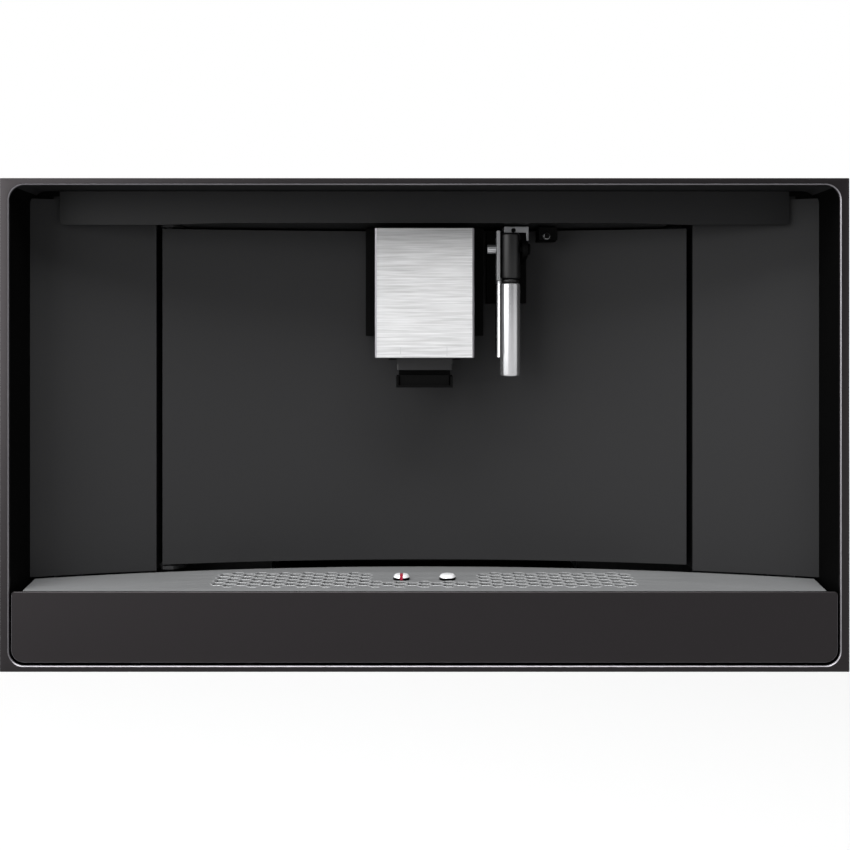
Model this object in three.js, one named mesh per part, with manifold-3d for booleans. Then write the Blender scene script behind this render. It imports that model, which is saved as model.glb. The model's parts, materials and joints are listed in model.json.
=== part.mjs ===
// A built-in coffee machine, in millimetres: +X to the viewer's right, +Y into the machine, +Z up.
// Depths are measured back from the front plane; the last lines of the file move the origin to
// the middle of the footprint. Each mesh is one piece of the machine.
import * as THREE from "three";
import { mergeVertices } from "three/addons/utils/BufferGeometryUtils.js";
import Module from "manifold-3d";

const wasm = await Module();
wasm.setup();

// ---- Driving dimensions ----------------------------------------------------

const SEAT_GAP = 0.3; // between two pieces that rest on each other
const SHEET = 1.2; // folded sheet steel

// Surround frame and niche
const FRONT_WIDTH = 596;
const FRONT_HEIGHT = 346.4;
const TOTAL_DEPTH = 470;
const APERTURE_WIDTH = 583.4;
const APERTURE_BOTTOM = 4.3;
const FRAME_STRIP = 4.8; // of the frame above the aperture
const APERTURE_RADIUS = 10.5;
const FRAME_FACE = 3; // thickness of the frame's face
const FRAME_CHAMFER = 0.8; // the bright edge round the aperture
const FRONT_SECTION = 52; // depth of the frame's skirt and of the niche's straight sides
const LINER_SHEET = 1.1;
const NICHE_WIDTH = 585.2;
const CEILING_STEP = 2.2; // the ceiling stands this much above the aperture
const NICHE_FLOOR = 2.9;
const LINER_OPENING = 554; // width of the opening in the liner's back flange

// The curved back wall is part of a cylinder about a vertical axis in front of the machine
const WALL_RADIUS = 955;
const WALL_DEPTH = 90; // at the middle
const ARC_STEP = 25; // longest chord along the wall

// Service door and the fixed panels beside it
const DOOR_WIDTH = 400;
const DOOR_BOTTOM = 61.2;
const DOOR_TOP_GAP = 0.3; // under the hood's lower edge, which the door passes as it turns
const DOOR_SKIN = 1.2;
const DOOR_BACK = 106; // depth of the liner's flat back
const DOOR_RIB = 3;
const PANEL_GAP = 4.4; // black gap between door and side panel
const PANEL_SKIN = 1.5;
const PANEL_BOTTOM = 57;
const PANEL_DROP = 2.3; // from the casing's top to the panels'
const PANEL_WALL = 2.3; // the side panels' returns to the bulkhead
const JAMB_SETBACK = 1.5; // the jamb stands back from the skin's edge, clear of the turning door
const PANEL_OUTER_WALL = 272;

// Door hinge
const HINGE_X = -196;
const HINGE_DEPTH = 75;
const HINGE_PIN_RADIUS = 2.5;
const HINGE_CLEARANCE = 0.3;
const HINGE_PIN_LENGTH = 18; // inside the door
const HINGE_PLATE = 2.7;
const HINGE_PLATE_LEFT = 9; // reach of the hinge plates beside the pin
const HINGE_PLATE_RIGHT = 11;
const STRIKE_WIDTH = 10;
const STRIKE_HEIGHT = 30;
const STRIKE_PLATE = 1.2;
const MAGNET_GAP = 0.8;

// Hood band
const HOOD_WIDTH = 541;
const HOOD_DEPTH = 45;
const HOOD_HEIGHT = 24.9;
const HOOD_RELIEF = 1.4; // its lower edge rises this much over the door
const HOOD_RELIEF_WIDTH = 396;
const HOOD_RELIEF_TAPER = 50;
const HOOD_PLATE = 2;
const HOOD_TOP_GAP = 0.7;
const HOOD_LIP_WIDTH = 366; // the lip over the door's top edge, between the hinge and the right jamb
const HOOD_CORNER = 3;

// Casing
const CASING_WIDTH = 556;
const CASING_DROP = 6.4; // from the front's top to the casing's
const CASING_FLANGE = 14; // stands out behind the front section, and bears on the cabinet
const CASING_BOTTOM = 4;
const CASING_SHEET = 1.5;
const CASING_CORNER = 4;
const PAN_FLANGE = 14;
const FOOT_RADIUS = 16;
const FOOT_X = 240;
const FOOT_FRONT_DEPTH = 90;
const FOOT_TO_BACK = 40;
const VENT_WIDTH = 42;
const VENT_HEIGHT = 5;
const VENT_PITCH = 56;
const INLET_X = -200;
const INLET_Z = 44;
const INLET_WIDTH = 25; // the socket's mouth
const INLET_HEIGHT = 17;
const INLET_CAVITY = 16;
const INLET_WALL = 3;
const INLET_BODY = 28;

// Bulkhead and service bay behind the door
const BULKHEAD_DEPTH = 112;
const SERVICE_WIDTH = 372;
const SERVICE_BOTTOM = 60.5;
const DOORWAY_INSET = 2.9; // inside the door's top edge
const BAY_WALL = 3;
const REAR_SPACE = 125.2; // behind the bay, for the pump and the heater
const TANK_BAY_WIDTH = 83;
const BREW_BAY_WIDTH = 138;

// Water tank, grounds container and bean container
const TANK_CLEARANCE = 1.5; // beside each container in its bay
const CONTAINER_FRONT = 118; // depth of the containers' front faces
const TANK_BACK_GAP = 11.8;
const TANK_HEADROOM = 70.2; // for the hand that lifts the tank
const TANK_WALL = 2.2;
const TANK_RADIUS = 8;
const LID_THICKNESS = 4;
const GROUNDS_LENGTH = 144;
const GROUNDS_HEADROOM = 4.2;
const BEAN_HEADROOM = 9;
const BEAN_HEIGHT = 92;
const BEAN_LENGTH = 144;
const BEAN_NECK_RADIUS = 22;

// Grinder
const GRINDER_DEPTH = 190;
const GRINDER_RADIUS = 42;
const GRINDER_BOTTOM = 116;
const GRINDER_FLOOR = 5;
const BURR_RADIUS = 20;
const BURR_TIP_RADIUS = 11;
const BURR_HEIGHT = 38;
const BURR_FLUTES = 12;
const BURR_CLEARANCE = 2;
const BURR_SHAFT_RADIUS = 5;
const SHAFT_CLEARANCE = 0.6;
const GRINDER_MOTOR_RADIUS = 34;

// Brew unit
const BREW_DEPTH = 205;
const BREW_FRAME_FRONT = 150;
const BREW_FRAME_SETBACK = 44.8; // from the bay's back
const BREW_PLATE = 8;
const BREW_HEADROOM = 53;
const BREW_HEIGHT = 130;
const CYLINDER_RADIUS = 27;
const CYLINDER_BORE = 22;
const CYLINDER_DROP = 10; // below the frame's lower plate
const CYLINDER_HEIGHT = 64;
const CYLINDER_FLOOR = 4;
const PISTON_CLEARANCE = 0.5;
const PISTON_LIFT = 10; // above the cylinder at rest
const PISTON_HEIGHT = 12;
const STEM_RADIUS = 9;
const STEM_GAP = 2; // under the frame's upper plate
const PISTON_CROWN = 4; // thickness over the stem's bore
const SPINDLE_RADIUS = 5;
const BREW_MOTOR_RADIUS = 22;
const BREW_MOTOR_HEIGHT = 38;

// Pump, thermoblock and control board
const PUMP_X = 60;
const PUMP_TO_BACK = 60;
const PUMP_Z = 44;
const PUMP_RADIUS = 22;
const PUMP_LENGTH = 120;
const PUMP_END_RADIUS = 14;
const PUMP_END_LENGTH = 20; // the narrower part at each end
const PUMP_PORT_RADIUS = 5;
const PUMP_PORT_LENGTH = 10;
const CRADLE_LENGTH = 48;
const CRADLE_WALL = 4;
const CRADLE_STRIP = 4; // thickness between the two saddles
const CRADLE_SPAN = 20; // from saddle to saddle
const CRADLE_TOP_DROP = 8; // below the pump's axis
const THERMO_X = -110;
const THERMO_WIDTH = 110;
const THERMO_TO_BACK = 24;
const THERMO_LENGTH = 84;
const THERMO_HEIGHT = 120;
const THERMO_FINS = 7;
const THERMO_FIN_HEIGHT = 12;
const THERMO_FOOT_WIDTH = 18;
const THERMO_FOOT_HEIGHT = 16;
const THERMO_PORT_RADIUS = 6;
const THERMO_PORT_LENGTH = 10;
const THERMO_PORT_INSET = 25; // from the block's sides
const THERMO_PORT_DROP = 30; // below the fins' tops
const BOARD_LENGTH = 180;
const BOARD_HEIGHT = 200;
const BOARD_STANDOFF = 10;
const BOARD_FRONT = 150;
const BOARD_BOTTOM = 70;
const BOARD_SHEET = 1.6;
const POST_RADIUS = 4;
const POST_INSET = 10; // from the board's edges
const TRANSFORMER = { along: 20, up: 20, length: 50, height: 44, thickness: 36 };
const RELAY = { along: 90, up: 24, length: 28, height: 20, thickness: 16 };
const RELAY_PITCH = 36;
const PROCESSOR = { along: 30, up: 130, length: 34, height: 34, thickness: 4 };
const TERMINALS = { along: 96, up: 140, length: 60, height: 12, thickness: 10 };

// Drip tray
const FASCIA_WIDTH = 579.9;
const FASCIA_BOTTOM = 6.5;
const FASCIA_TOP = 56.1;
const FASCIA_THICKNESS = 3;
const FASCIA_RADIUS = 9;
const FASCIA_TOP_RADIUS = 2;
const FASCIA_CHAMFER = 0.8;
const PLATE_TOP = 56;
const PLATE_THICKNESS = 1.6;
const PLATE_FRONT_WIDTH = 566.6;
const PLATE_BACK_WIDTH = 577;
const PLATE_WALL_GAP = 1.5; // between the plate's back edge and the curved wall
const BASIN_WIDTH = 562;
const BASIN_BOTTOM = 8;
const BASIN_WALL = 2.2;
const BASIN_WALL_GAP = 6;
const BASIN_TAIL_WIDTH = 236;
const BASIN_TAIL_DEPTH = 180;
const TAIL_CLEARANCE = 4;
const RUNNER_X = 203;
const RUNNER_WIDTH = 6;

// Honeycomb of drain holes in the plate
const CELL_SIDE = 5.88;
const CELL_WEB = 1.7;
const CELL_FRONT = 20.8; // depth of the first row's centres
const CELL_ROWS = 5;
const CELL_COLUMNS = 17; // each side of the middle
const NOTCH_HALF_WIDTH = 39; // the bare middle, round the studs
const NOTCH_FRONT = 34.5;

// Studs and float
const STUD_X = 17;
const STUD_DEPTH = 42;
const STUD_RADIUS = 6;
const STUD_HEIGHT = 3.7;
const STUD_SHANK_RADIUS = 4.6;
const STUD_SHANK_LENGTH = 3;
const STUD_CLEARANCE = 0.4;
const FLOAT_STEM_RADIUS = 2.9;
const FLOAT_BORE_CLEARANCE = 0.5;
const FLOAT_RADIUS = 13;
const FLOAT_HEIGHT = 8;
const FLOAT_RECESS = 3.6; // from the stud's top down to the stem's; the float rises almost this far
const VANE_THICKNESS = 1.9; // the red vane on the stem, seen through a slot in the stud's front
const VANE_SETBACK = 0.3; // behind the stud's face
const VANE_CLEARANCE = 0.4; // beside the vane in its slot

// Spout
const GUIDE_WIDTH = 90;
const GUIDE_HEIGHT = 82.3;
const GUIDE_DROP = 1.3; // below the hood's lip
const GUIDE_FRONT = 72;
const GUIDE_LIP = 6; // thickness in front of the slider's flange
const GUIDE_SLOT_WIDTH = 36;
const GUIDE_UNDERCUT = 8;
const SLIDE_CLEARANCE = 0.5;
const SLIDER_FLANGE = 5;
const SPOUT_FRONT = 32;
const SPOUT_WIDTH = 73;
const SPOUT_HEIGHT = 95.2;
const SPOUT_DROP = 3.1; // below the door's top edge
const SPOUT_RETURN = 18;
const HOUSING_INSET = 1.5;
const STEP_WIDTH = 52.6;
const STEP_DROP = 1.4;
const STEP_SETBACK = 8;
const OUTLET_WIDTH = 41;
const OUTLET_FRONT = 36;
const OUTLET_LENGTH = 30;
const OUTLET_DROP = 21.6; // below the cover
const OUTLET_LOWER_WIDTH = 37.8;
const OUTLET_LOWER_HEIGHT = 9;
const OUTLET_GROOVE_HEIGHT = 3.8;
const OUTLET_GROOVE = 5;
const OUTLET_PITCH = 18;
const OUTLET_BORE_RADIUS = 2.8;
const OUTLET_BORE_HEIGHT = 8;

// Nozzle
const NOZZLE_X = 63.5;
const NOZZLE_DEPTH = 46;
const NOZZLE_RADIUS = 7.5;
const GRIP_DROP = 4; // below the mount's top
const GRIP_LENGTH = 34;
const NECK_HEIGHT = 2.7;
const NECK_RADIUS = 6.6;
const SLEEVE_LENGTH = 68.7;
const SLEEVE_BORE = 3;
const AIR_TUBE_X = 56.6;
const AIR_TUBE_DEPTH = 54.6;
const AIR_TUBE_RADIUS = 3.5;
const AIR_TUBE_DROP = 7;
const AIR_TUBE_LENGTH = 89.7;
const PIVOT_DROP = 15.8;
const PIVOT_RADIUS = 2.2;
const PIVOT_CLEARANCE = 0.3;
const MOUNT_LEFT = 47.7;
const MOUNT_RIGHT = 78;
const MOUNT_HEIGHT = 55;
const MOUNT_DROP = 3.6; // below the hood's lip
const MOUNT_FRONT = 74;
const ARM_LEFT = 72.4;
const ARM_WIDTH = 4;
const ARM_RADIUS = 6;
const KNOB_LEFT = 46.6;
const KNOB_LENGTH = 6.6;
const KNOB_RADIUS = 3.5;
const KNOB_FLUTES = 16;
const BRACKET_LEFT = 60;
const BRACKET_FRONT = 58;
const BRACKET_SHEET = 2;
const BRACKET_DROP = 4.5;
const BRACKET_ARM_DROP = 10.7;
const CONNECTOR_LEFT = 86.5;
const CONNECTOR_RIGHT = 100.6;
const CONNECTOR_HEIGHT = 9.8;
const CONNECTOR_FRONT = 62;
const SPIGOT_RADIUS = 2.1;
const SPIGOT_LENGTH = 6;

// ---- Sizes that follow from them ---------------------------------------------

const apertureHalf = APERTURE_WIDTH / 2;
const nicheHalf = NICHE_WIDTH / 2;
const doorHalf = DOOR_WIDTH / 2;
const casingHalf = CASING_WIDTH / 2;
const apertureTop = FRONT_HEIGHT - FRAME_STRIP;
const nicheCeiling = apertureTop + CEILING_STEP;
const hoodTop = nicheCeiling - HOOD_TOP_GAP;
const hoodBottom = hoodTop - HOOD_HEIGHT;
const hoodLipBottom = hoodBottom + HOOD_RELIEF;
const doorTop = hoodBottom - DOOR_TOP_GAP;
const casingTop = FRONT_HEIGHT - CASING_DROP;
const panelTop = casingTop - PANEL_DROP;
const serviceTop = doorTop - DOORWAY_INSET;
const casingInside = casingHalf - CASING_SHEET;
const wallCentre = WALL_DEPTH - WALL_RADIUS; // depth of the wall's axis, in front of the machine
const panFloor = CASING_BOTTOM + CASING_SHEET;
const casingFront = FRONT_SECTION + SEAT_GAP;
const bulkheadBack = BULKHEAD_DEPTH + CASING_SHEET;
const bayFront = bulkheadBack + SEAT_GAP;
const bayBack = TOTAL_DEPTH - REAR_SPACE;
const serviceHalf = SERVICE_WIDTH / 2;
const tankBay = [-serviceHalf, -serviceHalf + TANK_BAY_WIDTH];
const brewBay = [tankBay[1] + BAY_WALL, tankBay[1] + BAY_WALL + BREW_BAY_WIDTH];
const beanBay = [brewBay[1] + BAY_WALL, serviceHalf];
const bayFloor = SERVICE_BOTTOM;
const standing = bayFloor + SEAT_GAP; // bottom of what stands on the bay's floor
const tankLength = bayBack - BAY_WALL - TANK_BACK_GAP - CONTAINER_FRONT;
const tankHeight = serviceTop - TANK_HEADROOM - standing;
const beanTop = serviceTop - BEAN_HEADROOM;
const beanBottom = beanTop - BEAN_HEIGHT;
const brewTop = serviceTop - BREW_HEADROOM;
const brewBottom = brewTop - BREW_HEIGHT;
const brewFrameBack = bayBack - BREW_FRAME_SETBACK;
const cylinderBottom = brewBottom - CYLINDER_DROP;
const cylinderTop = cylinderBottom + CYLINDER_HEIGHT;
const groundsHeight = cylinderBottom - GROUNDS_HEADROOM - standing;
const pistonBottom = cylinderTop + PISTON_LIFT;
const stemTop = brewTop - STEM_GAP;
const guideTop = hoodLipBottom - GUIDE_DROP;
const guideBottom = guideTop - GUIDE_HEIGHT;
const spoutTop = doorTop - SPOUT_DROP;
const spoutBottom = spoutTop - SPOUT_HEIGHT;
const outletBottom = spoutBottom - OUTLET_DROP;
const mountTop = hoodLipBottom - MOUNT_DROP;
const pivotZ = mountTop - PIVOT_DROP;
const gripTop = mountTop - GRIP_DROP;
const gripBottom = gripTop - GRIP_LENGTH;
const brewX = (brewBay[0] + brewBay[1]) / 2;
const grinderX = (beanBay[0] + beanBay[1]) / 2;
const plateBottom = PLATE_TOP - PLATE_THICKNESS;
const basinTop = plateBottom - SEAT_GAP;
const trayFront = FASCIA_THICKNESS + SEAT_GAP;
const studTop = PLATE_TOP + SEAT_GAP + STUD_HEIGHT;
const sleeveTop = gripBottom - NECK_HEIGHT - 2 * SEAT_GAP;
const sleeveBottom = sleeveTop - SLEEVE_LENGTH;
const airTubeTop = mountTop - AIR_TUBE_DROP;
const airTubeBottom = airTubeTop - AIR_TUBE_LENGTH;

// ---- Geometry helpers ----------------------------------------------------------

// The closed solid of a geometry whose shared vertices are merged.
function solid(geometry) {
  const bare = new THREE.BufferGeometry();
  bare.setAttribute("position", geometry.getAttribute("position"));
  bare.setIndex(geometry.getIndex());
  const merged = mergeVertices(bare, 1e-4);
  const corners = merged.getIndex().array;
  const triangles = [];
  for (let i = 0; i < corners.length; i += 3) {
    const [a, b, c] = corners.slice(i, i + 3);
    if (a !== b && b !== c && c !== a) triangles.push(a, b, c);
  }
  return new wasm.Manifold(
    new wasm.Mesh({
      numProp: 3,
      vertProperties: new Float32Array(merged.getAttribute("position").array),
      triVerts: new Uint32Array(triangles),
    }),
  );
}

const joined = (first, ...others) => others.reduce((sum, piece) => sum.add(piece), first);
const cut = (body, ...tools) => tools.reduce((rest, tool) => rest.subtract(tool), body);

// A shape drawn in (X, Z), extruded from one depth to another.
function alongY(shape, from, to, curveSegments = 4) {
  const geometry = new THREE.ExtrudeGeometry(shape, {
    depth: to - from,
    bevelEnabled: false,
    curveSegments,
  });
  return solid(geometry.rotateX(Math.PI / 2).translate(0, to, 0));
}

// A shape drawn in (X, Y), extruded upwards.
function alongZ(shape, from, to, curveSegments = 4) {
  const geometry = new THREE.ExtrudeGeometry(shape, {
    depth: to - from,
    bevelEnabled: false,
    curveSegments,
  });
  return solid(geometry.translate(0, 0, from));
}

// A shape drawn in (Y, Z), extruded to the right.
function alongX(shape, from, to, curveSegments = 4) {
  const geometry = new THREE.ExtrudeGeometry(shape, {
    depth: to - from,
    bevelEnabled: false,
    curveSegments,
  });
  const turn = new THREE.Matrix4().makeBasis(
    new THREE.Vector3(0, 1, 0),
    new THREE.Vector3(0, 0, 1),
    new THREE.Vector3(1, 0, 0),
  );
  return solid(geometry.applyMatrix4(turn).translate(from, 0, 0));
}

function block(x0, x1, y0, y1, z0, z1) {
  const geometry = new THREE.BoxGeometry(x1 - x0, y1 - y0, z1 - z0);
  return solid(geometry.translate((x0 + x1) / 2, (y0 + y1) / 2, (z0 + z1) / 2));
}

// A profile of [radius, height] points, from the axis round to the axis, turned about the vertical.
function turned(profile, x, y, segments = 20) {
  const points = profile.map(([radius, height]) => new THREE.Vector2(radius, height));
  const geometry = new THREE.LatheGeometry(points, segments);
  return solid(geometry.rotateX(Math.PI / 2).translate(x, y, 0));
}

const rodZ = (x, y, radius, z0, z1, segments = 20) =>
  turned([[0, z0], [radius, z0], [radius, z1], [0, z1]], x, y, segments);

function rodX(y, z, radius, x0, x1, segments = 20) {
  const geometry = new THREE.CylinderGeometry(radius, radius, x1 - x0, segments);
  return solid(geometry.rotateZ(Math.PI / 2).translate((x0 + x1) / 2, y, z));
}

function rodY(x, z, radius, y0, y1, segments = 20) {
  const geometry = new THREE.CylinderGeometry(radius, radius, y1 - y0, segments);
  return solid(geometry.translate(x, (y0 + y1) / 2, z));
}

function polygon(points) {
  return new THREE.Shape(points.map(([a, b]) => new THREE.Vector2(a, b)));
}

// A rectangle with one radius for the lower corners and one for the upper ones.
function roundedRect(a0, b0, a1, b1, lower, upper = lower) {
  const shape = new THREE.Shape();
  shape.moveTo(a0 + lower, b0);
  shape.lineTo(a1 - lower, b0);
  shape.absarc(a1 - lower, b0 + lower, lower, -Math.PI / 2, 0, false);
  shape.lineTo(a1, b1 - upper);
  shape.absarc(a1 - upper, b1 - upper, upper, 0, Math.PI / 2, false);
  shape.lineTo(a0 + upper, b1);
  shape.absarc(a0 + upper, b1 - upper, upper, Math.PI / 2, Math.PI, false);
  shape.lineTo(a0, b0 + lower);
  shape.absarc(a0 + lower, b0 + lower, lower, Math.PI, 1.5 * Math.PI, false);
  return shape;
}

// A vent slot with cut corners, centred at (a, b).
function slot(a, b, width, height, upright = false) {
  const [w, h] = upright ? [height / 2, width / 2] : [width / 2, height / 2];
  const c = height / 4;
  return polygon([
    [a - w + c, b - h],
    [a + w - c, b - h],
    [a + w, b - h + c],
    [a + w, b + h - c],
    [a + w - c, b + h],
    [a - w + c, b + h],
    [a - w, b + h - c],
    [a - w, b - h + c],
  ]);
}

// A solid through convex outlines of as many points each, one above the other.
function loft(...rings) {
  const count = rings[0].length;
  const middle = (ring) =>
    ring.reduce((sum, point) => sum.add(point), new THREE.Vector3()).divideScalar(count);
  const top = (rings.length - 1) * count;
  const base = rings.length * count;
  const points = [...rings.flat(), middle(rings[0]), middle(rings.at(-1))];
  const index = [];
  for (let i = 0; i < count; i++) {
    const j = (i + 1) % count;
    for (let ring = 0; ring < top; ring += count) {
      const [a, b] = [ring + i, ring + j];
      index.push(a, b, b + count, a, b + count, a + count);
    }
    index.push(base, j, i, base + 1, top + i, top + j);
  }
  return solid(new THREE.BufferGeometry().setFromPoints(points).setIndex(index));
}

// Depth of the curved back wall at x, moved back by offset.
const wallDepth = (x, offset = 0) =>
  wallCentre + Math.sqrt((WALL_RADIUS + offset) ** 2 - x ** 2);

// Points along the curved wall from one x to another.
function wallPoints(from, to, offset = 0) {
  const steps = Math.max(2, Math.ceil(Math.abs(to - from) / ARC_STEP));
  return Array.from({ length: steps + 1 }, (_, i) => {
    const x = from + ((to - from) * i) / steps;
    return [x, wallDepth(x, offset)];
  });
}

// The outline between the curved wall and a straight line in front of it or behind it.
const wallToLine = (from, to, offset, line) =>
  polygon([...wallPoints(from, to, offset), [to, line], [from, line]]);

const wallBand = (from, to, front, back) =>
  polygon([...wallPoints(from, to, front), ...wallPoints(to, from, back)]);

// ---- Materials -----------------------------------------------------------------

const finish = (color, roughness, metalness = 0) =>
  new THREE.MeshStandardMaterial({ color, roughness, metalness });
const blackGlass = finish(0x4a484b, 0.25, 0.3);
const satinBlack = finish(0x333335, 0.5);
const mouldedBlack = finish(0x1b1b1c, 0.6);
const brushedSteel = finish(0xc9c9c9, 0.3, 1);
const greySteel = finish(0x808284, 0.35, 1);
const chrome = finish(0xe4e4e6, 0.1, 1);
const zincSteel = finish(0xa9abad, 0.4, 1);
const rubber = finish(0x202020, 0.9);
const clearPlastic = finish(0xb9c4c8, 0.15);
const castAluminium = finish(0xb4b4b2, 0.5, 1);
const greenBoard = finish(0x2e5a3a, 0.6);
const redPlastic = finish(0xb01c20, 0.4);

const machine = new THREE.Group();

function add(name, body, material, group = machine) {
  const data = body.getMesh();
  const geometry = new THREE.BufferGeometry();
  geometry.setAttribute("position", new THREE.BufferAttribute(data.vertProperties, 3));
  geometry.setIndex(new THREE.BufferAttribute(data.triVerts, 1));
  const mesh = new THREE.Mesh(geometry, material);
  mesh.name = name;
  group.add(mesh);
}

// ---- Surround frame and niche ----------------------------------------------------

const aperture = (grow = 0) =>
  roundedRect(
    -apertureHalf - grow,
    APERTURE_BOTTOM - grow,
    apertureHalf + grow,
    apertureTop + grow,
    APERTURE_RADIUS + grow,
  );

function frontFrame() {
  const half = FRONT_WIDTH / 2;
  const outside = roundedRect(-half, 0, half, FRONT_HEIGHT, 0.6);
  const inside = roundedRect(-half + SHEET, SHEET, half - SHEET, FRONT_HEIGHT - SHEET, 0.4);
  const ring = (grow, depth) =>
    aperture(grow)
      .getPoints(5)
      .slice(0, -1)
      .map((point) => new THREE.Vector3(point.x, depth, point.y));
  const chamferedAperture = loft(
    ring(0, FRAME_FACE + 1),
    ring(0, FRAME_CHAMFER),
    ring(2 * FRAME_CHAMFER, -FRAME_CHAMFER),
  );
  return cut(
    alongY(outside, 0, FRONT_SECTION),
    alongY(inside, FRAME_FACE, FRONT_SECTION + 1),
    chamferedAperture,
  );
}

const nicheOutline = (grow) =>
  roundedRect(
    -nicheHalf - grow,
    NICHE_FLOOR - grow,
    nicheHalf + grow,
    nicheCeiling + grow,
    APERTURE_RADIUS + grow,
  );

function nicheLiner() {
  const front = FRAME_FACE + SEAT_GAP;
  const opening = LINER_OPENING / 2;
  return cut(
    alongY(nicheOutline(LINER_SHEET), front, FRONT_SECTION),
    alongY(nicheOutline(0), front - 1, FRONT_SECTION - SHEET),
    block(-opening, opening, front, FRONT_SECTION + 1, NICHE_FLOOR, casingTop),
  );
}

// The fixed part of the curved wall on one side: a skin with two returns to the bulkhead, its
// upper corner rounded with the niche's.
function sidePanel(side) {
  const inner = doorHalf + PANEL_GAP;
  const outer = nicheHalf - SEAT_GAP;
  const back = BULKHEAD_DEPTH - SEAT_GAP;
  const reach = (x0, x1) => {
    const [a, b] = side > 0 ? [x0, x1] : [-x1, -x0];
    return alongZ(wallToLine(a, b, PANEL_SKIN / 2, back), PANEL_BOTTOM, panelTop);
  };
  const jamb = inner + JAMB_SETBACK;
  const [from, to] = side > 0 ? [inner, outer] : [-outer, -inner];
  const panel = joined(
    alongZ(wallBand(from, to, 0, PANEL_SKIN), PANEL_BOTTOM, panelTop),
    reach(jamb, jamb + PANEL_WALL),
    reach(PANEL_OUTER_WALL, PANEL_OUTER_WALL + PANEL_WALL),
  );
  return panel.intersect(alongY(nicheOutline(-SEAT_GAP), 0, BULKHEAD_DEPTH));
}

// A folded band: front, a narrow return all round, and a lip over the door back to the bulkhead.
function hoodPanel() {
  const half = HOOD_WIDTH / 2;
  const reliefHalf = HOOD_RELIEF_WIDTH / 2;
  const plateBack = HOOD_DEPTH + HOOD_PLATE;
  const front = alongY(
    roundedRect(-half, hoodBottom, half, hoodTop, HOOD_CORNER, 0.5),
    HOOD_DEPTH,
    plateBack,
  );
  const relief = alongY(
    polygon([
      [-reliefHalf, hoodBottom - 1],
      [reliefHalf, hoodBottom - 1],
      [reliefHalf, hoodBottom],
      [reliefHalf - HOOD_RELIEF_TAPER, hoodLipBottom],
      [HOOD_RELIEF_TAPER - reliefHalf, hoodLipBottom],
      [-reliefHalf, hoodBottom],
    ]),
    HOOD_DEPTH - 1,
    plateBack + 1,
  );
  const cheek = (side) => {
    const [a, b] = side > 0 ? [half - HOOD_PLATE, half] : [-half, HOOD_PLATE - half];
    return block(a, b, plateBack, plateBack + HOOD_CORNER, hoodBottom + HOOD_CORNER, hoodTop);
  };
  return cut(
    joined(
      front,
      block(-half + 1, half - 1, plateBack, plateBack + HOOD_CORNER, hoodTop - SHEET, hoodTop),
      block(
        -HOOD_LIP_WIDTH / 2,
        HOOD_LIP_WIDTH / 2,
        plateBack,
        BULKHEAD_DEPTH - SEAT_GAP,
        hoodLipBottom,
        hoodLipBottom + SHEET,
      ),
      cheek(-1),
      cheek(1),
    ),
    relief,
  );
}

add("front_frame", frontFrame(), blackGlass);
add("niche_liner", nicheLiner(), mouldedBlack);
add("side_panel_left", sidePanel(-1), satinBlack);
add("side_panel_right", sidePanel(1), satinBlack);
add("hood_panel", hoodPanel(), satinBlack);

// ---- Casing ------------------------------------------------------------------------

// A row of vents centred on a0, side by side.
function ventRow(count, a0, b, upright = false) {
  return Array.from({ length: count }, (_, i) => {
    const at = a0 + (i - (count - 1) / 2) * (upright ? 3 * VENT_HEIGHT : VENT_PITCH);
    return slot(at, b, VENT_WIDTH, VENT_HEIGHT, upright);
  });
}

function casingWrap() {
  const outside = roundedRect(-casingHalf, CASING_BOTTOM, casingHalf, casingTop, 0.5, CASING_CORNER);
  const inside = roundedRect(
    -casingInside,
    CASING_BOTTOM - 2,
    casingInside,
    casingTop - CASING_SHEET,
    0.5,
    CASING_CORNER - CASING_SHEET,
  );
  const topVents = [TOTAL_DEPTH - 60, TOTAL_DEPTH - 80, TOTAL_DEPTH - 100].flatMap((depth) =>
    ventRow(6, 0, depth).map((shape) => alongZ(shape, casingTop - 10, casingTop + 1, 3)),
  );
  const sideVents = ventRow(8, TOTAL_DEPTH - 120, 200, true).map((shape) =>
    alongX(shape, -casingHalf - 1, casingHalf + 1, 3),
  );
  const flange = (x0, x1) =>
    block(x0, x1, casingFront, casingFront + CASING_SHEET, CASING_BOTTOM, casingTop);
  return cut(
    joined(
      alongY(outside, casingFront, TOTAL_DEPTH),
      flange(-casingHalf - CASING_FLANGE, -casingHalf + CASING_CORNER),
      flange(casingHalf - CASING_CORNER, casingHalf + CASING_FLANGE),
    ),
    alongY(inside, casingFront - 1, TOTAL_DEPTH + 1),
    ...topVents,
    ...sideVents,
  );
}

const panHalf = casingInside - SEAT_GAP;
const rearPanelBack = TOTAL_DEPTH - SEAT_GAP;
const rearPanelFront = rearPanelBack - CASING_SHEET;
const panBack = rearPanelFront - SEAT_GAP;

function basePan() {
  const top = CASING_BOTTOM + PAN_FLANGE;
  return cut(
    block(-panHalf, panHalf, casingFront, panBack, CASING_BOTTOM, top),
    block(-panHalf + SHEET, panHalf - SHEET, casingFront - 1, panBack - SHEET, panFloor, top + 1),
  );
}

function rearPanel() {
  const outline = roundedRect(-panHalf, CASING_BOTTOM, panHalf, casingTop - 1.8, 0.5, 2);
  const mouth = roundedRect(
    INLET_X - INLET_WIDTH / 2,
    INLET_Z - INLET_HEIGHT / 2,
    INLET_X + INLET_WIDTH / 2,
    INLET_Z + INLET_HEIGHT / 2,
    2,
  );
  outline.holes.push(mouth);
  for (const height of [240, 260, 280, 300]) outline.holes.push(...ventRow(7, 0, height));
  return alongY(outline, rearPanelFront, rearPanelBack, 3);
}

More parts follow.
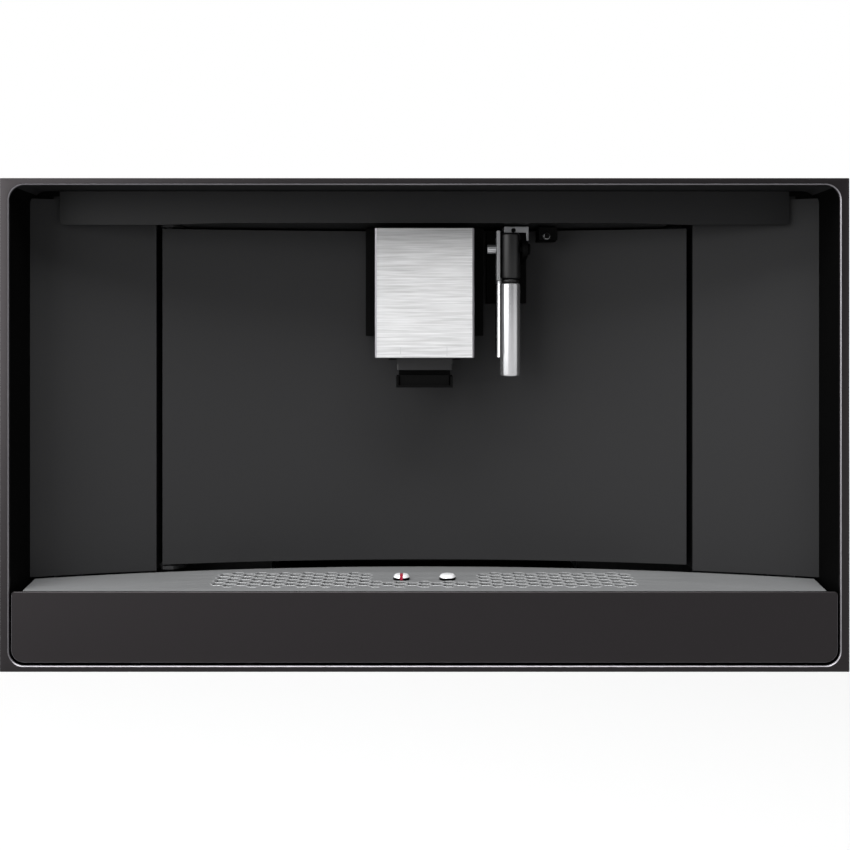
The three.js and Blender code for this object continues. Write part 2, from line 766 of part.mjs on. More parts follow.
// A flush appliance socket: its cavity opens backwards and holds three flat pins.
function powerInlet() {
  const back = rearPanelFront - SEAT_GAP;
  const shell = (grow) =>
    roundedRect(
      INLET_X - INLET_WIDTH / 2 - grow,
      INLET_Z - INLET_HEIGHT / 2 - grow,
      INLET_X + INLET_WIDTH / 2 + grow,
      INLET_Z + INLET_HEIGHT / 2 + grow,
      2,
    );
  const pin = (dx, dz) =>
    block(
      INLET_X + dx - 1,
      INLET_X + dx + 1,
      back - INLET_CAVITY - 1,
      back - 3,
      INLET_Z + dz - 2,
      INLET_Z + dz + 2,
    );
  return joined(
    cut(
      alongY(shell(INLET_WALL), back - INLET_BODY, back),
      alongY(shell(0), back - INLET_CAVITY, back + 1),
    ),
    pin(-7, -2),
    pin(0, 2),
    pin(7, -2),
  );
}

add("casing_wrap", casingWrap(), zincSteel);
add("base_pan", basePan(), zincSteel);
add("rear_panel", rearPanel(), zincSteel);
add("power_inlet", powerInlet(), mouldedBlack);

const footTop = CASING_BOTTOM - SEAT_GAP;
for (const [name, x, depth] of [
  ["foot_front_left", -FOOT_X, FOOT_FRONT_DEPTH],
  ["foot_front_right", FOOT_X, FOOT_FRONT_DEPTH],
  ["foot_rear_left", -FOOT_X, TOTAL_DEPTH - FOOT_TO_BACK],
  ["foot_rear_right", FOOT_X, TOTAL_DEPTH - FOOT_TO_BACK],
]) {
  const profile = [
    [0, 0],
    [FOOT_RADIUS - 1, 0],
    [FOOT_RADIUS, 1],
    [FOOT_RADIUS, footTop],
    [0, footTop],
  ];
  add(name, turned(profile, x, depth), rubber);
}

// ---- Bulkhead, hinges and service bay ---------------------------------------------

const bulkheadHalf = panHalf - SHEET - SEAT_GAP;

function innerBulkhead() {
  const outline = polygon([
    [-bulkheadHalf, panFloor + SEAT_GAP],
    [-BASIN_TAIL_WIDTH / 2 - TAIL_CLEARANCE, panFloor + SEAT_GAP],
    [-BASIN_TAIL_WIDTH / 2 - TAIL_CLEARANCE, PLATE_TOP],
    [BASIN_TAIL_WIDTH / 2 + TAIL_CLEARANCE, PLATE_TOP],
    [BASIN_TAIL_WIDTH / 2 + TAIL_CLEARANCE, panFloor + SEAT_GAP],
    [bulkheadHalf, panFloor + SEAT_GAP],
    [bulkheadHalf, casingTop - CASING_SHEET - SEAT_GAP],
    [-bulkheadHalf, casingTop - CASING_SHEET - SEAT_GAP],
  ]);
  const doorway = roundedRect(-serviceHalf, SERVICE_BOTTOM, serviceHalf, serviceTop, 4);
  outline.holes.push(doorway);
  return alongY(outline, BULKHEAD_DEPTH, bulkheadBack);
}

function hingeBracket(bottom) {
  const shape = polygon([
    [HINGE_X - HINGE_PLATE_LEFT, BULKHEAD_DEPTH - SEAT_GAP],
    [HINGE_X - HINGE_PLATE_LEFT, HINGE_DEPTH + 4],
    [HINGE_X - 4, HINGE_DEPTH - 5],
    [HINGE_X + 4, HINGE_DEPTH - 5],
    [HINGE_X + HINGE_PLATE_RIGHT, HINGE_DEPTH + 4],
    [HINGE_X + HINGE_PLATE_RIGHT, BULKHEAD_DEPTH - SEAT_GAP],
  ]);
  return alongZ(shape, bottom, bottom + HINGE_PLATE);
}

const hingeGap = 1.2; // between the door's ends and the hinge plates
const lowerPlate = DOOR_BOTTOM - hingeGap - HINGE_PLATE;
const upperPlate = doorTop + hingeGap;
const pinX = [HINGE_X, HINGE_DEPTH, HINGE_PIN_RADIUS];
add(
  "hinge_bracket_top",
  joined(
    hingeBracket(upperPlate),
    rodZ(...pinX, doorTop - HINGE_PIN_LENGTH, upperPlate + HINGE_PLATE),
  ),
  satinBlack,
);
add(
  "hinge_bracket_bottom",
  joined(hingeBracket(lowerPlate), rodZ(...pinX, lowerPlate, DOOR_BOTTOM + HINGE_PIN_LENGTH)),
  satinBlack,
);
add("inner_bulkhead", innerBulkhead(), satinBlack);

const strikeX = doorHalf - STRIKE_WIDTH - 1;
const strikeZ = (DOOR_BOTTOM + doorTop) / 2;
const strikeBack = DOOR_BACK + SEAT_GAP + STRIKE_PLATE;
add(
  "door_magnet",
  block(
    strikeX,
    strikeX + STRIKE_WIDTH,
    strikeBack + MAGNET_GAP,
    BULKHEAD_DEPTH - SEAT_GAP,
    strikeZ - STRIKE_HEIGHT / 2,
    strikeZ + STRIKE_HEIGHT / 2,
  ),
  mouldedBlack,
);

function serviceBay() {
  const outer = serviceHalf + BAY_WALL;
  const pocket = ([x0, x1]) =>
    alongY(
      roundedRect(x0, bayFloor, x1, serviceTop, 1, 3),
      bayFront - 1,
      bayBack - BAY_WALL,
    );
  return cut(
    block(-outer, outer, bayFront, bayBack, bayFloor - BAY_WALL, serviceTop + BAY_WALL),
    pocket(tankBay),
    pocket(brewBay),
    pocket(beanBay),
  );
}

add("service_bay", serviceBay(), mouldedBlack);

// ---- Containers --------------------------------------------------------------------

// An open box with rounded upright corners that stands in a bay.
function container([x0, x1], length, height, wall, radius) {
  const left = x0 + TANK_CLEARANCE;
  const right = x1 - TANK_CLEARANCE;
  const outline = (inset) =>
    roundedRect(
      left + inset,
      CONTAINER_FRONT + inset,
      right - inset,
      CONTAINER_FRONT + length - inset,
      radius - inset,
    );
  return cut(
    alongZ(outline(0), standing, standing + height),
    alongZ(outline(wall), standing + wall, standing + height + 1),
  );
}

function lid([x0, x1], length, bottom, radius) {
  const left = x0 + TANK_CLEARANCE;
  const right = x1 - TANK_CLEARANCE;
  const outline = roundedRect(
    left,
    CONTAINER_FRONT,
    right,
    CONTAINER_FRONT + length,
    radius,
  );
  const plug = roundedRect(
    left + TANK_WALL + 1,
    CONTAINER_FRONT + TANK_WALL + 1,
    right - TANK_WALL - 1,
    CONTAINER_FRONT + length - TANK_WALL - 1,
    radius - TANK_WALL,
  );
  return joined(
    alongZ(outline, bottom + SEAT_GAP, bottom + SEAT_GAP + LID_THICKNESS),
    alongZ(plug, bottom - LID_THICKNESS, bottom + SEAT_GAP + 1),
  );
}

add(
  "water_tank",
  container(tankBay, tankLength, tankHeight, TANK_WALL, TANK_RADIUS),
  clearPlastic,
);
add("tank_lid", lid(tankBay, tankLength, standing + tankHeight, TANK_RADIUS), mouldedBlack);
add(
  "grounds_container",
  container(brewBay, GROUNDS_LENGTH, groundsHeight, TANK_WALL, TANK_RADIUS),
  mouldedBlack,
);

// A hopper: a box that draws in to the grinder's throat.
function beanContainer() {
  const left = beanBay[0] + TANK_CLEARANCE;
  const right = beanBay[1] - TANK_CLEARANCE;
  const back = CONTAINER_FRONT + BEAN_LENGTH;
  const points = 32;
  const shoulder = beanBottom + (beanTop - beanBottom) / 2;
  const ring = (height, inset, round) =>
    Array.from({ length: points }, (_, i) => {
      const angle = (2 * Math.PI * (i + 0.5)) / points;
      const [c, s] = [Math.cos(angle), Math.sin(angle)];
      if (round) {
        const radius = BEAN_NECK_RADIUS + TANK_WALL - inset;
        return new THREE.Vector3(grinderX + radius * c, GRINDER_DEPTH + radius * s, height);
      }
      const half = (right - left) / 2 - inset;
      const long = (back - CONTAINER_FRONT) / 2 - inset;
      const squared = (value) => Math.sign(value) * Math.abs(value) ** 0.35;
      return new THREE.Vector3(
        (left + right) / 2 + half * squared(c),
        (CONTAINER_FRONT + back) / 2 + long * squared(s),
        height,
      );
    });
  return cut(
    joined(
      loft(ring(shoulder, 0, false), ring(beanTop, 0, false)),
      loft(ring(beanBottom, 0, true), ring(shoulder, 0, false)),
    ),
    loft(ring(shoulder - 0.5, TANK_WALL, false), ring(beanTop + 1, TANK_WALL, false)),
    loft(ring(beanBottom - 1, TANK_WALL, true), ring(shoulder, TANK_WALL, false)),
  );
}

add("bean_container", beanContainer(), clearPlastic);
add(
  "bean_lid",
  alongZ(
    roundedRect(
      beanBay[0] + TANK_CLEARANCE,
      CONTAINER_FRONT,
      beanBay[1] - TANK_CLEARANCE,
      CONTAINER_FRONT + BEAN_LENGTH,
      TANK_RADIUS,
    ),
    beanTop + SEAT_GAP,
    beanTop + SEAT_GAP + LID_THICKNESS,
  ),
  mouldedBlack,
);

// ---- Grinder ------------------------------------------------------------------------

const grinderTop = beanBottom - SEAT_GAP;
const burrBottom = GRINDER_BOTTOM + GRINDER_FLOOR + 20;
const burrSpace = BURR_RADIUS + BURR_CLEARANCE;

function grinderHousing() {
  return cut(
    turned(
      [
        [0, GRINDER_BOTTOM],
        [GRINDER_RADIUS - 4, GRINDER_BOTTOM],
        [GRINDER_RADIUS, GRINDER_BOTTOM + 4],
        [GRINDER_RADIUS, grinderTop - 20],
        [BEAN_NECK_RADIUS + 6, grinderTop],
        [0, grinderTop],
      ],
      grinderX,
      GRINDER_DEPTH,
      24,
    ),
    rodZ(grinderX, GRINDER_DEPTH, burrSpace, GRINDER_BOTTOM + GRINDER_FLOOR, grinderTop + 1, 24),
    rodZ(
      grinderX,
      GRINDER_DEPTH,
      BURR_SHAFT_RADIUS + SHAFT_CLEARANCE,
      GRINDER_BOTTOM - 1,
      GRINDER_BOTTOM + GRINDER_FLOOR + 1,
    ),
    // The chute that throws the ground coffee forward into the brew unit
    block(
      grinderX - GRINDER_RADIUS - 1,
      grinderX,
      GRINDER_DEPTH - 8,
      GRINDER_DEPTH + 8,
      GRINDER_BOTTOM + GRINDER_FLOOR,
      GRINDER_BOTTOM + GRINDER_FLOOR + 14,
    ),
  );
}

// A fluted cone on its shaft, which reaches down into the motor's coupling.
function grinderBurr() {
  const fluted = (radius, height) =>
    Array.from({ length: 2 * BURR_FLUTES }, (_, i) => {
      const angle = (Math.PI * i) / BURR_FLUTES;
      const reach = i % 2 ? radius - 2 : radius;
      return new THREE.Vector3(
        grinderX + reach * Math.cos(angle),
        GRINDER_DEPTH + reach * Math.sin(angle),
        height,
      );
    });
  return joined(
    loft(fluted(BURR_RADIUS, burrBottom), fluted(BURR_TIP_RADIUS, burrBottom + BURR_HEIGHT)),
    rodZ(grinderX, GRINDER_DEPTH, BURR_SHAFT_RADIUS, GRINDER_BOTTOM - 8, burrBottom + 1),
  );
}

const motorTop = GRINDER_BOTTOM - SEAT_GAP;
add("grinder_housing", grinderHousing(), castAluminium);
add("grinder_burr", grinderBurr(), zincSteel);
add(
  "grinder_motor",
  cut(
    turned(
      [
        [0, standing],
        [GRINDER_MOTOR_RADIUS, standing],
        [GRINDER_MOTOR_RADIUS, motorTop - 6],
        [GRINDER_MOTOR_RADIUS - 6, motorTop],
        [0, motorTop],
      ],
      grinderX,
      GRINDER_DEPTH,
      24,
    ),
    rodZ(
      grinderX,
      GRINDER_DEPTH,
      BURR_SHAFT_RADIUS + SHAFT_CLEARANCE,
      GRINDER_BOTTOM - 8 - SEAT_GAP,
      motorTop + 1,
    ),
  ),
  zincSteel,
);

// ---- Brew unit -----------------------------------------------------------------------

function brewFrame() {
  const left = brewBay[0] + SEAT_GAP;
  const right = brewBay[1] - SEAT_GAP;
  const profile = polygon([
    [BREW_FRAME_FRONT, brewBottom],
    [brewFrameBack, brewBottom],
    [brewFrameBack, brewTop + BREW_PLATE],
    [BREW_FRAME_FRONT, brewTop + BREW_PLATE],
    [BREW_FRAME_FRONT, brewTop],
    [brewFrameBack - BREW_PLATE, brewTop],
    [brewFrameBack - BREW_PLATE, brewBottom + BREW_PLATE],
    [BREW_FRAME_FRONT, brewBottom + BREW_PLATE],
  ]);
  const window = roundedRect(left + 20, brewBottom + 24, right - 20, brewTop - 16, 8);
  return cut(
    alongX(profile, left, right),
    alongY(window, brewFrameBack - BREW_PLATE - 1, brewFrameBack + 1),
    rodZ(
      brewX,
      BREW_DEPTH,
      CYLINDER_RADIUS + SHAFT_CLEARANCE,
      brewBottom - 1,
      brewBottom + BREW_PLATE + 1,
      24,
    ),
    rodZ(
      brewX,
      BREW_DEPTH,
      SPINDLE_RADIUS + SHAFT_CLEARANCE,
      brewTop - 1,
      brewTop + BREW_PLATE + 1,
    ),
  );
}

function brewCylinder() {
  const flange = brewBottom + BREW_PLATE + SEAT_GAP;
  return turned(
    [
      [CYLINDER_BORE / 4, cylinderBottom],
      [CYLINDER_RADIUS, cylinderBottom],
      [CYLINDER_RADIUS, flange],
      [CYLINDER_RADIUS + 6, flange],
      [CYLINDER_RADIUS + 6, flange + 4],
      [CYLINDER_RADIUS, flange + 4],
      [CYLINDER_RADIUS, cylinderTop],
      [CYLINDER_BORE, cylinderTop],
      [CYLINDER_BORE, cylinderBottom + CYLINDER_FLOOR],
      [CYLINDER_BORE / 4, cylinderBottom + CYLINDER_FLOOR],
      [CYLINDER_BORE / 4, cylinderBottom],
    ],
    brewX,
    BREW_DEPTH,
    24,
  );
}

// The piston's hollow stem travels down along the spindle.
function brewPiston() {
  const head = CYLINDER_BORE - PISTON_CLEARANCE;
  const bore = SPINDLE_RADIUS + PISTON_CLEARANCE;
  const crown = pistonBottom + PISTON_HEIGHT;
  return turned(
    [
      [0, pistonBottom],
      [head - 1, pistonBottom],
      [head, pistonBottom + 1],
      [head, crown],
      [STEM_RADIUS, crown],
      [STEM_RADIUS, stemTop],
      [bore, stemTop],
      [bore, crown - PISTON_CROWN],
      [0, crown - PISTON_CROWN],
    ],
    brewX,
    BREW_DEPTH,
    24,
  );
}

const pumpDepth = TOTAL_DEPTH - PUMP_TO_BACK;
const thermoBack = TOTAL_DEPTH - THERMO_TO_BACK;
const thermoFront = thermoBack - THERMO_LENGTH;
const brewMotorBottom = brewTop + BREW_PLATE + SEAT_GAP;
const spindleTop = brewMotorBottom + 10;
const spindleBottom = pistonBottom + PISTON_HEIGHT - PISTON_CROWN + SEAT_GAP;
add("brew_frame", brewFrame(), mouldedBlack);
add("brew_cylinder", brewCylinder(), castAluminium);
add("brew_piston", brewPiston(), mouldedBlack);
add(
  "brew_spindle",
  rodZ(brewX, BREW_DEPTH, SPINDLE_RADIUS, spindleBottom, spindleTop, 16),
  zincSteel,
);
add(
  "brew_motor",
  cut(
    turned(
      [
        [0, brewMotorBottom],
        [BREW_MOTOR_RADIUS, brewMotorBottom],
        [BREW_MOTOR_RADIUS, brewMotorBottom + BREW_MOTOR_HEIGHT - 4],
        [BREW_MOTOR_RADIUS - 4, brewMotorBottom + BREW_MOTOR_HEIGHT],
        [0, brewMotorBottom + BREW_MOTOR_HEIGHT],
      ],
      brewX,
      BREW_DEPTH,
      20,
    ),
    rodZ(
      brewX,
      BREW_DEPTH,
      SPINDLE_RADIUS + SHAFT_CLEARANCE,
      brewMotorBottom - 1,
      spindleTop + SEAT_GAP,
    ),
  ),
  zincSteel,
);

// ---- Pump, thermoblock and control board ------------------------------------------------

function pump() {
  const left = PUMP_X - PUMP_LENGTH / 2;
  const right = PUMP_X + PUMP_LENGTH / 2;
  const at = [pumpDepth, PUMP_Z];
  const end = PUMP_PORT_LENGTH + PUMP_END_LENGTH;
  return joined(
    rodX(...at, PUMP_RADIUS, left + end, right - end, 24),
    rodX(...at, PUMP_END_RADIUS, left + PUMP_PORT_LENGTH, right - PUMP_PORT_LENGTH, 20),
    rodX(...at, PUMP_PORT_RADIUS, left, right, 16),
  );
}

// Two rubber saddles on one strip, shaped to the pump's body.
function pumpCradle() {
  const half = PUMP_RADIUS + CRADLE_WALL;
  const floor = panFloor + SEAT_GAP;
  const left = PUMP_X - CRADLE_LENGTH / 2;
  const right = PUMP_X + CRADLE_LENGTH / 2;
  const top = PUMP_Z - CRADLE_TOP_DROP;
  const span = CRADLE_SPAN / 2;
  return cut(
    block(left, right, pumpDepth - half, pumpDepth + half, floor, top),
    rodX(pumpDepth, PUMP_Z, PUMP_RADIUS + SEAT_GAP, left - 1, right + 1, 24),
    block(PUMP_X - span, PUMP_X + span, 0, TOTAL_DEPTH, floor + CRADLE_STRIP, PUMP_Z),
  );
}

// A cast heater block on two feet, with cooling fins along its top and two ports in front.
function thermoblock() {
  const left = THERMO_X - THERMO_WIDTH / 2;
  const right = THERMO_X + THERMO_WIDTH / 2;
  const floor = panFloor + SEAT_GAP;
  const top = floor + THERMO_HEIGHT;
  const root = top - THERMO_FIN_HEIGHT;
  const arch = floor + THERMO_FOOT_HEIGHT;
  const pitch = THERMO_WIDTH / THERMO_FINS;
  const fins = [];
  for (let i = 0; i < THERMO_FINS; i++) {
    const x = left + (i + 0.25) * pitch;
    fins.push([x, root], [x, top], [x + pitch / 2, top], [x + pitch / 2, root]);
  }
  const outline = polygon([
    [left, floor],
    [left, root],
    ...fins,
    [right, root],
    [right, floor],
    [right - THERMO_FOOT_WIDTH, floor],
    [right - THERMO_FOOT_WIDTH, arch],
    [left + THERMO_FOOT_WIDTH, arch],
    [left + THERMO_FOOT_WIDTH, floor],
  ]);
  const port = (x) =>
    rodY(
      x,
      top - THERMO_PORT_DROP,
      THERMO_PORT_RADIUS,
      thermoFront - THERMO_PORT_LENGTH,
      thermoFront + 1,
    );
  return joined(
    alongY(outline, thermoFront, thermoBack),
    port(left + THERMO_PORT_INSET),
    port(right - THERMO_PORT_INSET),
  );
}

// The board stands upright on four posts from the casing's right side.
function controlBoard() {
  const wall = casingInside - SEAT_GAP;
  const back = wall - BOARD_STANDOFF;
  const face = back - BOARD_SHEET;
  const end = BOARD_FRONT + BOARD_LENGTH;
  const top = BOARD_BOTTOM + BOARD_HEIGHT;
  const posts = [BOARD_FRONT + POST_INSET, end - POST_INSET].flatMap((depth) =>
    [BOARD_BOTTOM + POST_INSET, top - POST_INSET].map((height) =>
      rodX(depth, height, POST_RADIUS, back - BOARD_SHEET / 2, wall, 12),
    ),
  );
  const component = ({ along, up, length, height, thickness }) => {
    const [depth, bottom] = [BOARD_FRONT + along, BOARD_BOTTOM + up];
    const inside = face + BOARD_SHEET / 2;
    return block(face - thickness, inside, depth, depth + length, bottom, bottom + height);
  };
  return joined(
    block(face, back, BOARD_FRONT, end, BOARD_BOTTOM, top),
    ...posts,
    component(TRANSFORMER),
    component(RELAY),
    component({ ...RELAY, along: RELAY.along + RELAY_PITCH }),
    component(PROCESSOR),
    component(TERMINALS),
  );
}

add("pump", pump(), zincSteel);
add("pump_cradle", pumpCradle(), rubber);
add("thermoblock", thermoblock(), castAluminium);
add("control_board", controlBoard(), greenBoard);

// ---- Door ----------------------------------------------------------------------------------

const door = new THREE.Group();
machine.add(door);

// A moulded backing for the skin, hollow on each side of a middle rib and bored for the pins.
function doorLiner() {
  const half = doorHalf - 0.2;
  const body = alongZ(
    wallToLine(-half, half, DOOR_SKIN + SEAT_GAP, DOOR_BACK),
    DOOR_BOTTOM,
    doorTop,
  );
  const hollow = alongZ(
    wallToLine(-half + 12, half - 12, DOOR_SKIN + SEAT_GAP + DOOR_RIB, DOOR_BACK + 1),
    DOOR_BOTTOM + 2 * DOOR_RIB,
    doorTop - 2 * DOOR_RIB,
  );
  const rib = block(-DOOR_RIB, DOOR_RIB, 0, DOOR_BACK + 2, DOOR_BOTTOM, doorTop);
  const bore = HINGE_PIN_RADIUS + HINGE_CLEARANCE;
  const past = HINGE_PIN_LENGTH + 2;
  return cut(
    body,
    cut(hollow, rib),
    rodZ(HINGE_X, HINGE_DEPTH, bore, doorTop - past, doorTop + 1),
    rodZ(HINGE_X, HINGE_DEPTH, bore, DOOR_BOTTOM - 1, DOOR_BOTTOM + past),
  );
}

add(
  "door_panel",
  alongZ(wallBand(-doorHalf, doorHalf, 0, DOOR_SKIN), DOOR_BOTTOM, doorTop),
  satinBlack,
  door,
);
add("door_liner", doorLiner(), mouldedBlack, door);
add(
  "strike_plate",
  block(
    strikeX,
    strikeX + STRIKE_WIDTH,
    DOOR_BACK + SEAT_GAP,
    strikeBack,
    strikeZ - STRIKE_HEIGHT / 2,
    strikeZ + STRIKE_HEIGHT / 2,
  ),
  zincSteel,
  door,
);

// ---- Spout -----------------------------------------------------------------------------------

const flangeFront = GUIDE_FRONT + GUIDE_LIP + SLIDE_CLEARANCE;
const flangeBack = flangeFront + SLIDER_FLANGE;
const slotHalf = GUIDE_SLOT_WIDTH / 2;
const undercutHalf = slotHalf + GUIDE_UNDERCUT;
const housingHalf = SPOUT_WIDTH / 2 - HOUSING_INSET;

function spoutGuide() {
  const half = GUIDE_WIDTH / 2;
  return cut(
    alongZ(wallToLine(-half, half, -SEAT_GAP, GUIDE_FRONT), guideBottom, guideTop),
    block(-slotHalf, slotHalf, 0, GUIDE_FRONT + GUIDE_LIP + 1, 0, FRONT_HEIGHT),
    block(
      -undercutHalf,
      undercutHalf,
      GUIDE_FRONT + GUIDE_LIP,
      flangeBack + SLIDE_CLEARANCE,
      0,
      FRONT_HEIGHT,
    ),
  );
}

// A moulded block with a T-shaped tongue at the back and a step below.
function spoutHousing() {
  const front = SPOUT_FRONT + SHEET + SEAT_GAP;
  const back = GUIDE_FRONT - SLIDE_CLEARANCE;
  const bottom = spoutBottom + STEP_DROP;
  const top = spoutTop - HOUSING_INSET;
  const neck = slotHalf - SLIDE_CLEARANCE;
  const flange = undercutHalf - SLIDE_CLEARANCE;
  return joined(
    alongZ(roundedRect(-housingHalf, front, housingHalf, back, 1.5, 4), bottom, top),
    block(
      -STEP_WIDTH / 2,
      STEP_WIDTH / 2,
      SPOUT_FRONT + STEP_SETBACK,
      back - STEP_SETBACK,
      spoutBottom - STEP_DROP,
      bottom + 1,
    ),
    block(-neck, neck, back - 1, flangeFront + 1, bottom + 4, top),
    block(-flange, flange, flangeFront, flangeBack, bottom + 4, top),
  );
}

// A folded steel cover: front and two side returns, with small bends.
function spoutCover() {
  const half = SPOUT_WIDTH / 2;
  const back = SPOUT_FRONT + SPOUT_RETURN;
  const bend = 1.6;
  const outline = new THREE.Shape();
  outline.moveTo(-half, back);
  outline.lineTo(-half, SPOUT_FRONT + bend);
  outline.absarc(-half + bend, SPOUT_FRONT + bend, bend, Math.PI, 1.5 * Math.PI, false);
  outline.lineTo(half - bend, SPOUT_FRONT);
  outline.absarc(half - bend, SPOUT_FRONT + bend, bend, 1.5 * Math.PI, 2 * Math.PI, false);
  outline.lineTo(half, back);
  outline.lineTo(half - SHEET, back);
  outline.lineTo(half - SHEET, SPOUT_FRONT + SHEET);
  outline.lineTo(-half + SHEET, SPOUT_FRONT + SHEET);
  outline.lineTo(-half + SHEET, back);
  return alongZ(outline, spoutBottom, spoutTop);
}

function outletBlock() {
  const half = OUTLET_WIDTH / 2;
  const lowerHalf = OUTLET_LOWER_WIDTH / 2;
  const lowerTop = outletBottom + OUTLET_LOWER_HEIGHT;
  const upperBottom = lowerTop + OUTLET_GROOVE_HEIGHT;
  const back = OUTLET_FRONT + OUTLET_LENGTH;
  const stepBottom = spoutBottom - STEP_DROP;
  const lip = SPOUT_FRONT + STEP_SETBACK - SEAT_GAP;
  const bores = [-1, 1].map((side) =>
    rodZ(
      (side * OUTLET_PITCH) / 2,
      OUTLET_FRONT + OUTLET_LENGTH / 2,
      OUTLET_BORE_RADIUS,
      outletBottom - 1,
      outletBottom + OUTLET_BORE_HEIGHT,
      16,
    ),
  );
  return cut(
    joined(
      alongZ(
        roundedRect(-half, OUTLET_FRONT, half, back, 1.5),
        upperBottom,
        stepBottom - SEAT_GAP,
      ),
      block(-half, half, OUTLET_FRONT, lip, stepBottom - 3, spoutBottom - SEAT_GAP),
      block(
        -lowerHalf,
        lowerHalf,
        OUTLET_FRONT + OUTLET_GROOVE,
        back,
        lowerTop - 1,
        upperBottom + 1,
      ),
      alongZ(
        roundedRect(-lowerHalf, OUTLET_FRONT + 1.5, lowerHalf, back, 1.5),
        outletBottom,
        lowerTop,
      ),
    ),
    ...bores,
  );
}

add("spout_guide", spoutGuide(), mouldedBlack, door);
const spout = new THREE.Group();
door.add(spout);
add("spout_front", spoutCover(), brushedSteel, spout);
add("spout_housing", spoutHousing(), mouldedBlack, spout);
add("outlet_block", outletBlock(), mouldedBlack, spout);

// ---- Nozzle ------------------------------------------------------------------------------------

const pivotBore = PIVOT_RADIUS + PIVOT_CLEARANCE;
const armRight = ARM_LEFT + ARM_WIDTH;

// A plate on the door with one arm forward to the tilt axle.
function nozzleMount() {
  const arm = new THREE.Shape();
  arm.moveTo(MOUNT_FRONT + 1, pivotZ - ARM_RADIUS - 3);
  arm.lineTo(MOUNT_FRONT + 1, pivotZ + ARM_RADIUS + 3);
  arm.lineTo(NOZZLE_DEPTH, pivotZ + ARM_RADIUS);
  arm.absarc(NOZZLE_DEPTH, pivotZ, ARM_RADIUS, Math.PI / 2, 1.5 * Math.PI, false);
  return cut(
    joined(
      alongZ(
        wallToLine(MOUNT_LEFT, MOUNT_RIGHT, -SEAT_GAP, MOUNT_FRONT),
        mountTop - MOUNT_HEIGHT,
        mountTop,
      ),
      alongX(arm, ARM_LEFT, armRight, 10),
    ),
    rodX(NOZZLE_DEPTH, pivotZ, pivotBore, ARM_LEFT - 1, armRight + 1, 16),
  );
}

function nozzleBracket() {
  const right = armRight + 2;
  const top = mountTop + SEAT_GAP + BRACKET_SHEET;
  const face = polygon([
    [BRACKET_LEFT, top],
    [BRACKET_LEFT, top - BRACKET_DROP],
    [right - BRACKET_SHEET + SEAT_GAP, top - BRACKET_DROP],
    [right - BRACKET_SHEET + SEAT_GAP, top - BRACKET_ARM_DROP],
    [right, top - BRACKET_ARM_DROP],
    [right, top],
  ]);
  return joined(
    alongY(face, BRACKET_FRONT, BRACKET_FRONT + BRACKET_SHEET),
    block(BRACKET_LEFT, right, BRACKET_FRONT + 1, MOUNT_FRONT + 8, top - BRACKET_SHEET, top),
  );
}

// A knurled clamping knob on the left end of the axle.
function nozzleKnob() {
  const rim = Array.from({ length: 2 * KNOB_FLUTES }, (_, i) => {
    const angle = (Math.PI * i) / KNOB_FLUTES;
    const reach = i % 2 ? KNOB_RADIUS - 0.25 : KNOB_RADIUS;
    return [NOZZLE_DEPTH + reach * Math.cos(angle), pivotZ + reach * Math.sin(angle)];
  });
  return cut(
    alongX(polygon(rim), KNOB_LEFT, KNOB_LEFT + KNOB_LENGTH),
    rodX(NOZZLE_DEPTH, pivotZ, pivotBore, KNOB_LEFT + 1.5, KNOB_LEFT + KNOB_LENGTH + 1, 16),
  );
}

function connectorBlock() {
  const x = (CONNECTOR_LEFT + CONNECTOR_RIGHT) / 2;
  const bottom = guideTop - CONNECTOR_HEIGHT;
  return joined(
    alongZ(
      wallToLine(CONNECTOR_LEFT, CONNECTOR_RIGHT, -SEAT_GAP, CONNECTOR_FRONT),
      bottom,
      guideTop,
    ),
    rodY(
      x - 1.5,
      bottom + SPIGOT_RADIUS + 0.4,
      SPIGOT_RADIUS,
      CONNECTOR_FRONT - SPIGOT_LENGTH,
      CONNECTOR_FRONT + 1,
      16,
    ),
  );
}

add("nozzle_mount", nozzleMount(), mouldedBlack, door);
add("nozzle_bracket", nozzleBracket(), zincSteel, door);
add(
  "nozzle_pin",
  joined(
    rodX(NOZZLE_DEPTH, pivotZ, PIVOT_RADIUS, KNOB_LEFT + 1.8, armRight + 1, 16),
    rodX(NOZZLE_DEPTH, pivotZ, 4, armRight + SEAT_GAP, armRight + 1.8, 20),
  ),
  zincSteel,
  door,
);
add("nozzle_knob", nozzleKnob(), greySteel, door);
add("connector_block", connectorBlock(), mouldedBlack, door);

const nozzle = new THREE.Group();
door.add(nozzle);

function nozzleGrip() {
  const profile = [
    [0, gripBottom],
    [NOZZLE_RADIUS - 1.5, gripBottom],
    [NOZZLE_RADIUS - 0.4, gripBottom + 0.5],
    [NOZZLE_RADIUS, gripBottom + 2],
    [NOZZLE_RADIUS, gripTop - 1.5],
    [NOZZLE_RADIUS - 1.2, gripTop],
    [0, gripTop],
  ];
  return cut(
    turned(profile, NOZZLE_X, NOZZLE_DEPTH, 24),
    rodX(NOZZLE_DEPTH, pivotZ, pivotBore, NOZZLE_X - 10, NOZZLE_X + 10, 16),
  );
}

function nozzleSleeve() {
  const profile = [
    [SLEEVE_BORE, sleeveBottom],
    [NOZZLE_RADIUS - 1, sleeveBottom],
    [NOZZLE_RADIUS, sleeveBottom + 1],
    [NOZZLE_RADIUS, sleeveTop - 0.6],
    [NOZZLE_RADIUS - 0.6, sleeveTop],
    [SLEEVE_BORE, sleeveTop],
    [SLEEVE_BORE, sleeveBottom],
  ];
  return turned(profile, NOZZLE_X, NOZZLE_DEPTH, 24);
}

